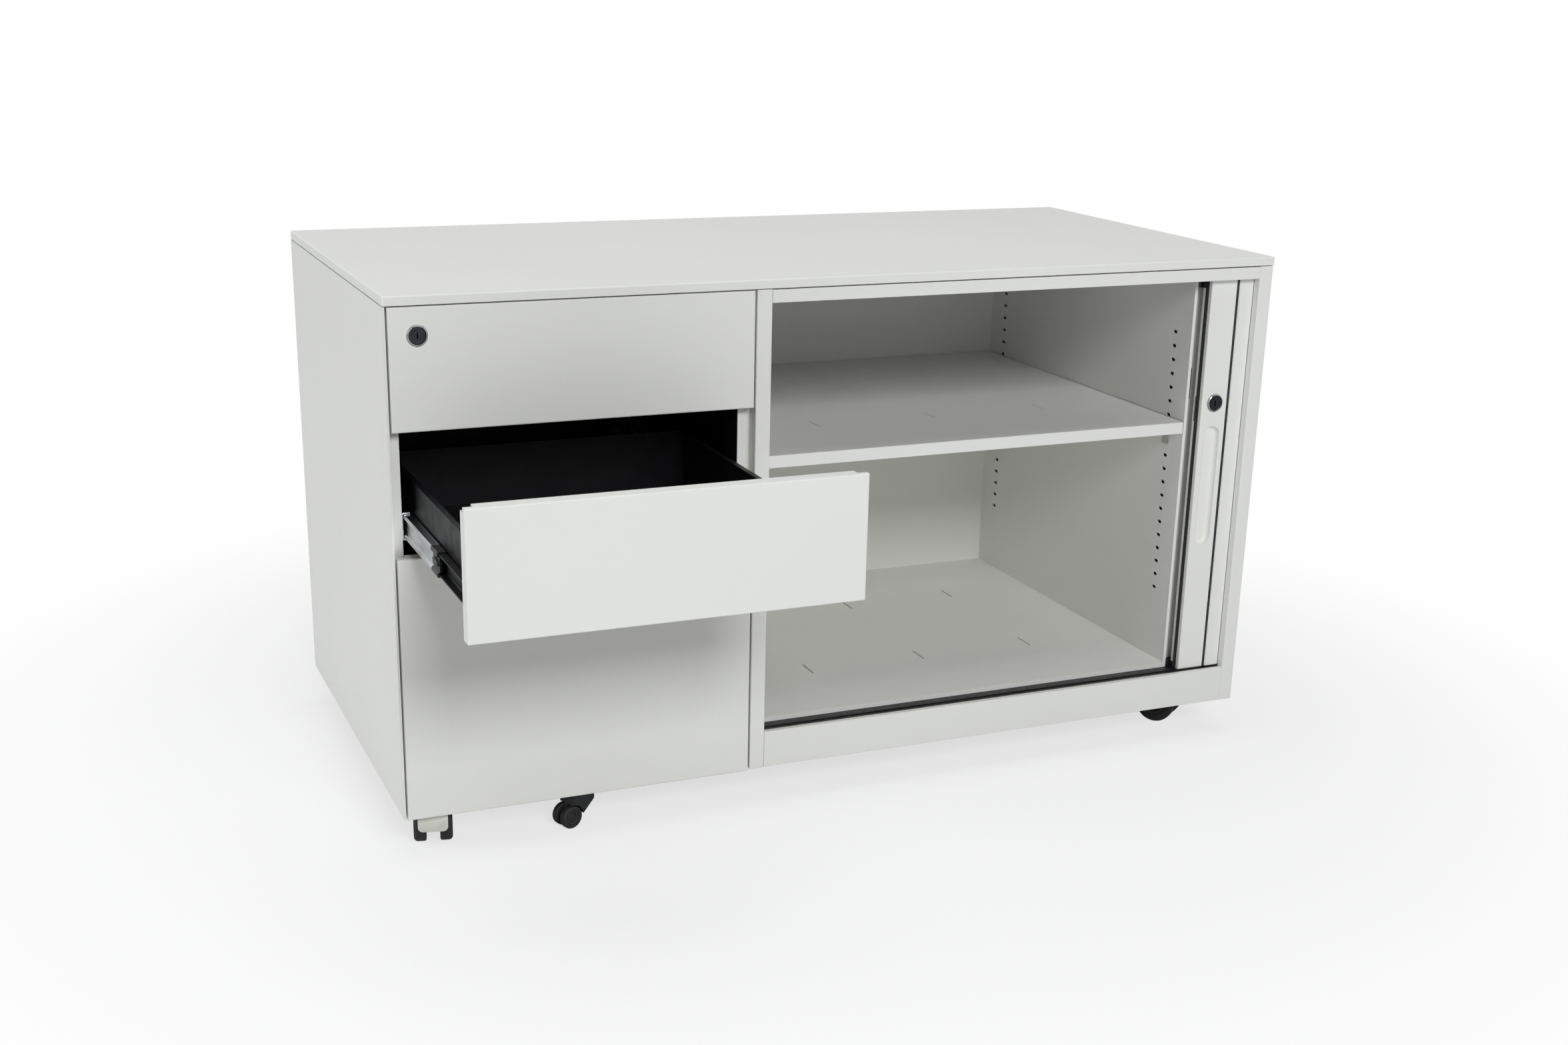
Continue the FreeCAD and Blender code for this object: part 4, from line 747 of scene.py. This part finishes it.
def stile_seal():
    """A black strip filling the gap between the stile and the first slat: painted shade for the dark shadow in that
    gap.
    """
    x0, x1 = high("tambour_stile").x + 0.1 * MM, LEAD_START - 0.1 * MM
    front, back = RUN_Y - SLAT_THICK / 2 + 1.0 * MM, RUN_Y + SLAT_THICK / 2
    bow = [(x0 + (x1 - x0) * k / 6, front - SHADE_STRIP_BOW * math.sin(math.pi * k / 6)) for k in range(7)]
    form = bmesh.new()
    prism(form, bow + [(x1, back), (x0, back)], SLAT_LOW, SLAT_HIGH)
    # Black rubber here paints the shadow of the gap beside the stile.
    piece = from_bmesh("stile_seal", form, BLACK_RUBBER)
    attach(piece, "tambour")


def track_guides():
    """Black moulded guides at the ends of both tracks, behind the stile and in front of the liner's flange."""
    lip = low("right_liner")
    x0 = lip.x + LINER_LIP
    x1 = x0 + GUIDE_WIDTH
    front, back = high("tambour_stile").y + 1.0 * MM, lip.y + LINER_FLANGE
    bevel = GUIDE_BEVEL
    outline = [(x0, front + bevel), (x0 + bevel, front), (x1 - bevel, front), (x1, front + bevel), (x1, back),
               (x0, back)]
    form = bmesh.new()
    prism(form, outline, high("bottom_track").z + 0.2 * MM, high("bottom_track").z + GUIDE_FOOT)
    prism(form, outline, low("top_rail").z - GUIDE_HEAD, low("top_track").z - 0.2 * MM)
    piece = from_bmesh("track_guides", form, BLACK_PLASTIC)
    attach(piece, "carcass")


def stile_feet():
    """Thin black pieces at the foot and head of the stile's left wall, behind its edge strip."""
    strip_low, strip_high = low("stile_edge_strip"), high("stile_edge_strip")
    x0, x1 = strip_low.x + 0.05 * MM, strip_high.x - 0.05 * MM
    y0, y1 = strip_high.y + 0.1 * MM, high("tambour_stile").y - 0.1 * MM
    bevel = FOOT_BEVEL
    outline = [(x0 + bevel, y0), (x1, y0), (x1, y1), (x0 + bevel, y1), (x0, y1 - bevel), (x0, y0 + bevel)]
    form = bmesh.new()
    prism(form, outline, strip_low.z, strip_low.z + GUIDE_FOOT)
    prism(form, outline, low("top_rail").z - GUIDE_HEAD, strip_high.z)
    piece = from_bmesh("stile_feet", form, BLACK_PLASTIC)
    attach(piece, "tambour")


def rivet_pattern():
    """A low domed rivet with a pressed centre, standing on its X axis."""
    form = bmesh.new()
    turned(form, [(r * MM, up * MM) for r, up in RIVET_DOME], FACING_BACK, 28)
    piece = from_bmesh("rivet_pattern", form, WHITE)
    smooth_by_angle(piece)
    return piece


def copies_on_points_tree(pattern, material):
    """Put a copy of the pattern, scaled by a named size, on every point of the base."""
    tree, start, end = field_tree("copies_on_points", ["Size"])
    points = tree.nodes.new("GeometryNodeMeshToPoints")
    shape = tree.nodes.new("GeometryNodeObjectInfo")
    shape.inputs["Object"].default_value = pattern
    copies = tree.nodes.new("GeometryNodeInstanceOnPoints")
    real = tree.nodes.new("GeometryNodeRealizeInstances")
    paint = tree.nodes.new("GeometryNodeSetMaterial")
    paint.inputs["Material"].default_value = material
    link = tree.links.new
    link(start.outputs["Geometry"], points.inputs["Mesh"])
    link(points.outputs["Points"], copies.inputs["Points"])
    link(shape.outputs["Geometry"], copies.inputs["Instance"])
    link(start.outputs["Size"], copies.inputs["Scale"])
    link(copies.outputs["Instances"], real.inputs["Geometry"])
    link(real.outputs["Geometry"], paint.inputs["Geometry"])
    link(paint.outputs["Geometry"], end.inputs["Geometry"])
    return tree


def spaced(start, end, count):
    return [start + (end - start) * k / (count - 1) for k in range(count)]


def back_rivets():
    """Rivets round the edge of the back panel."""
    first, last = low("back_panel"), high("back_panel")
    xs = spaced(first.x + RIVET_INSET, last.x - RIVET_INSET, RIVETS_ACROSS)
    zs = spaced(first.z + RIVET_INSET, last.z - RIVET_INSET, RIVETS_UP)
    places = [(x, last.y, z) for x in xs for z in (zs[0], zs[-1])]
    places += [(x, last.y, z) for x in (xs[0], xs[-1]) for z in zs[1:-1]]
    mesh = bpy.data.meshes.new("rivet_places")
    mesh.from_pydata(places, [], [])
    pattern = rivet_pattern()
    tree = copies_on_points_tree(pattern, WHITE)
    rivets = grown("back_rivets", linked("rivet_places", mesh), tree, {"Size": 1.0}, pattern)
    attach(rivets, "carcass")


# Studio

FLOOR_REACH = 14.0
# Distances from the middle at which the floor starts and ends its fade, and the share of white there
FLOOR_FADE = (0.55, 1.3, 0.7, 1.0)
COOL_WHITE = (0.965, 0.985, 1.0)
LAMP_TARGET = Vector((0.0, 0.0, 0.3))


def floor_material():
    """A pale floor that keeps the shadow near the object and fades to white further out."""
    material = bpy.data.materials.new("studio_floor")
    material.use_nodes = True
    tree = material.node_tree
    shader = tree.nodes["Principled BSDF"]
    shader.inputs["Base Color"].default_value = (0.94, 0.94, 0.94, 1.0)
    shader.inputs["Roughness"].default_value = 0.9
    white = tree.nodes.new("ShaderNodeEmission")
    mix = tree.nodes.new("ShaderNodeMixShader")
    place = tree.nodes.new("ShaderNodeTexCoord")
    distance = tree.nodes.new("ShaderNodeVectorMath")
    distance.operation = "LENGTH"
    fade = tree.nodes.new("ShaderNodeMapRange")
    fade.interpolation_type = "SMOOTHSTEP"
    set_range(fade, *FLOOR_FADE)
    path = tree.nodes.new("ShaderNodeLightPath")
    seen = tree.nodes.new("ShaderNodeMath")
    seen.operation = "MAXIMUM"
    share = tree.nodes.new("ShaderNodeMath")
    share.operation = "MULTIPLY"
    tree.links.new(place.outputs["Object"], distance.inputs[0])
    tree.links.new(distance.outputs["Value"], fade.inputs["Value"])
    tree.links.new(path.outputs["Is Camera Ray"], seen.inputs[0])
    tree.links.new(path.outputs["Is Transmission Ray"], seen.inputs[1])
    tree.links.new(seen.outputs["Value"], share.inputs[0])
    tree.links.new(fade.outputs["Result"], share.inputs[1])
    tree.links.new(share.outputs["Value"], mix.inputs["Fac"])
    tree.links.new(shader.outputs["BSDF"], mix.inputs[1])
    tree.links.new(white.outputs["Emission"], mix.inputs[2])
    tree.links.new(mix.outputs["Shader"], tree.nodes["Material Output"].inputs["Surface"])
    return material


def floor():
    mesh = bpy.data.meshes.new("studio_floor")
    corners = [(x * FLOOR_REACH, y * FLOOR_REACH, 0.0) for x, y in ((-1, -1), (1, -1), (1, 1), (-1, 1))]
    mesh.from_pydata(corners, [], [(0, 1, 2, 3)])
    mesh.materials.append(floor_material())
    linked("studio_floor", mesh)


def world():
    """An even pale room that shows as white behind the object."""
    sky = bpy.data.worlds.new("studio_room")
    bpy.context.scene.world = sky
    sky.use_nodes = True
    tree = sky.node_tree
    room = tree.nodes["Background"]
    room.inputs["Color"].default_value = (0.97, 0.985, 1.0, 1.0)
    room.inputs["Strength"].default_value = 0.02
    white = tree.nodes.new("ShaderNodeBackground")
    white.inputs["Color"].default_value = (1.0, 1.0, 1.0, 1.0)
    white.inputs["Strength"].default_value = 1.0
    path = tree.nodes.new("ShaderNodeLightPath")
    seen = tree.nodes.new("ShaderNodeMath")
    seen.operation = "MAXIMUM"
    shown = tree.nodes.new("ShaderNodeMath")
    shown.operation = "MAXIMUM"
    mix = tree.nodes.new("ShaderNodeMixShader")
    tree.links.new(path.outputs["Is Camera Ray"], seen.inputs[0])
    tree.links.new(path.outputs["Is Glossy Ray"], seen.inputs[1])
    tree.links.new(seen.outputs["Value"], shown.inputs[0])
    tree.links.new(path.outputs["Is Transmission Ray"], shown.inputs[1])
    tree.links.new(shown.outputs["Value"], mix.inputs["Fac"])
    tree.links.new(room.outputs["Background"], mix.inputs[1])
    tree.links.new(white.outputs["Background"], mix.inputs[2])
    tree.links.new(mix.outputs["Shader"], tree.nodes["World Output"].inputs["Surface"])


def softbox(name, place, size, watts):
    light = bpy.data.lights.new(name, "AREA")
    light.shape = "RECTANGLE"
    light.size, light.size_y = size
    light.energy = watts
    light.color = COOL_WHITE
    lamp = linked(name, light)
    lamp.location = place
    lamp.rotation_euler = (LAMP_TARGET - Vector(place)).to_track_quat("-Z", "Y").to_euler()


def studio_lights():
    softbox("key_softbox", (-0.3, -4.8, 3.0), (2.0, 1.3), 138.0)
    softbox("front_softbox", (-0.5, -5.5, 1.2), (4.0, 1.2), 8.0)
    softbox("left_softbox", (-4.5, 0.6, 2.0), (3.0, 2.4), 86.0)
    softbox("top_softbox", (0.0, 0.0, 4.5), (4.0, 3.0), 66.0)


# The camera's place, with its level line, its upright and its aim
EYE = Vector((-0.9375, -2.1771, 0.9302))
EYE_RIGHT = Vector((0.91998984, -0.39143958, 0.01984322))
EYE_UP = Vector((0.10490771, 0.29471043, 0.94981058))
EYE_AIM = Vector((0.37764145, 0.87173438, -0.31219563))
LENS = 44.32
SENSOR = 36.0
SHIFT = (0.0062, 0.0528)


def camera():
    lens = bpy.data.cameras.new("eye")
    lens.lens = LENS
    lens.sensor_width = SENSOR
    lens.sensor_fit = "HORIZONTAL"
    lens.shift_x, lens.shift_y = SHIFT
    eye = linked("eye", lens)
    turn = Matrix((EYE_RIGHT, EYE_UP, -EYE_AIM)).transposed()
    eye.matrix_world = Matrix.Translation(EYE) @ turn.to_4x4()
    bpy.context.scene.camera = eye


bpy.context.scene.view_settings.view_transform = "Standard"
dress_nodes()
stowed_curtain()
drawn_curtain()
stile_seal()
track_guides()
stile_feet()
lock_face(1, "drawer_1")
lock_face(2, "tambour")
slides()
castors()
back_rivets()
floor()
world()
studio_lights()
camera()
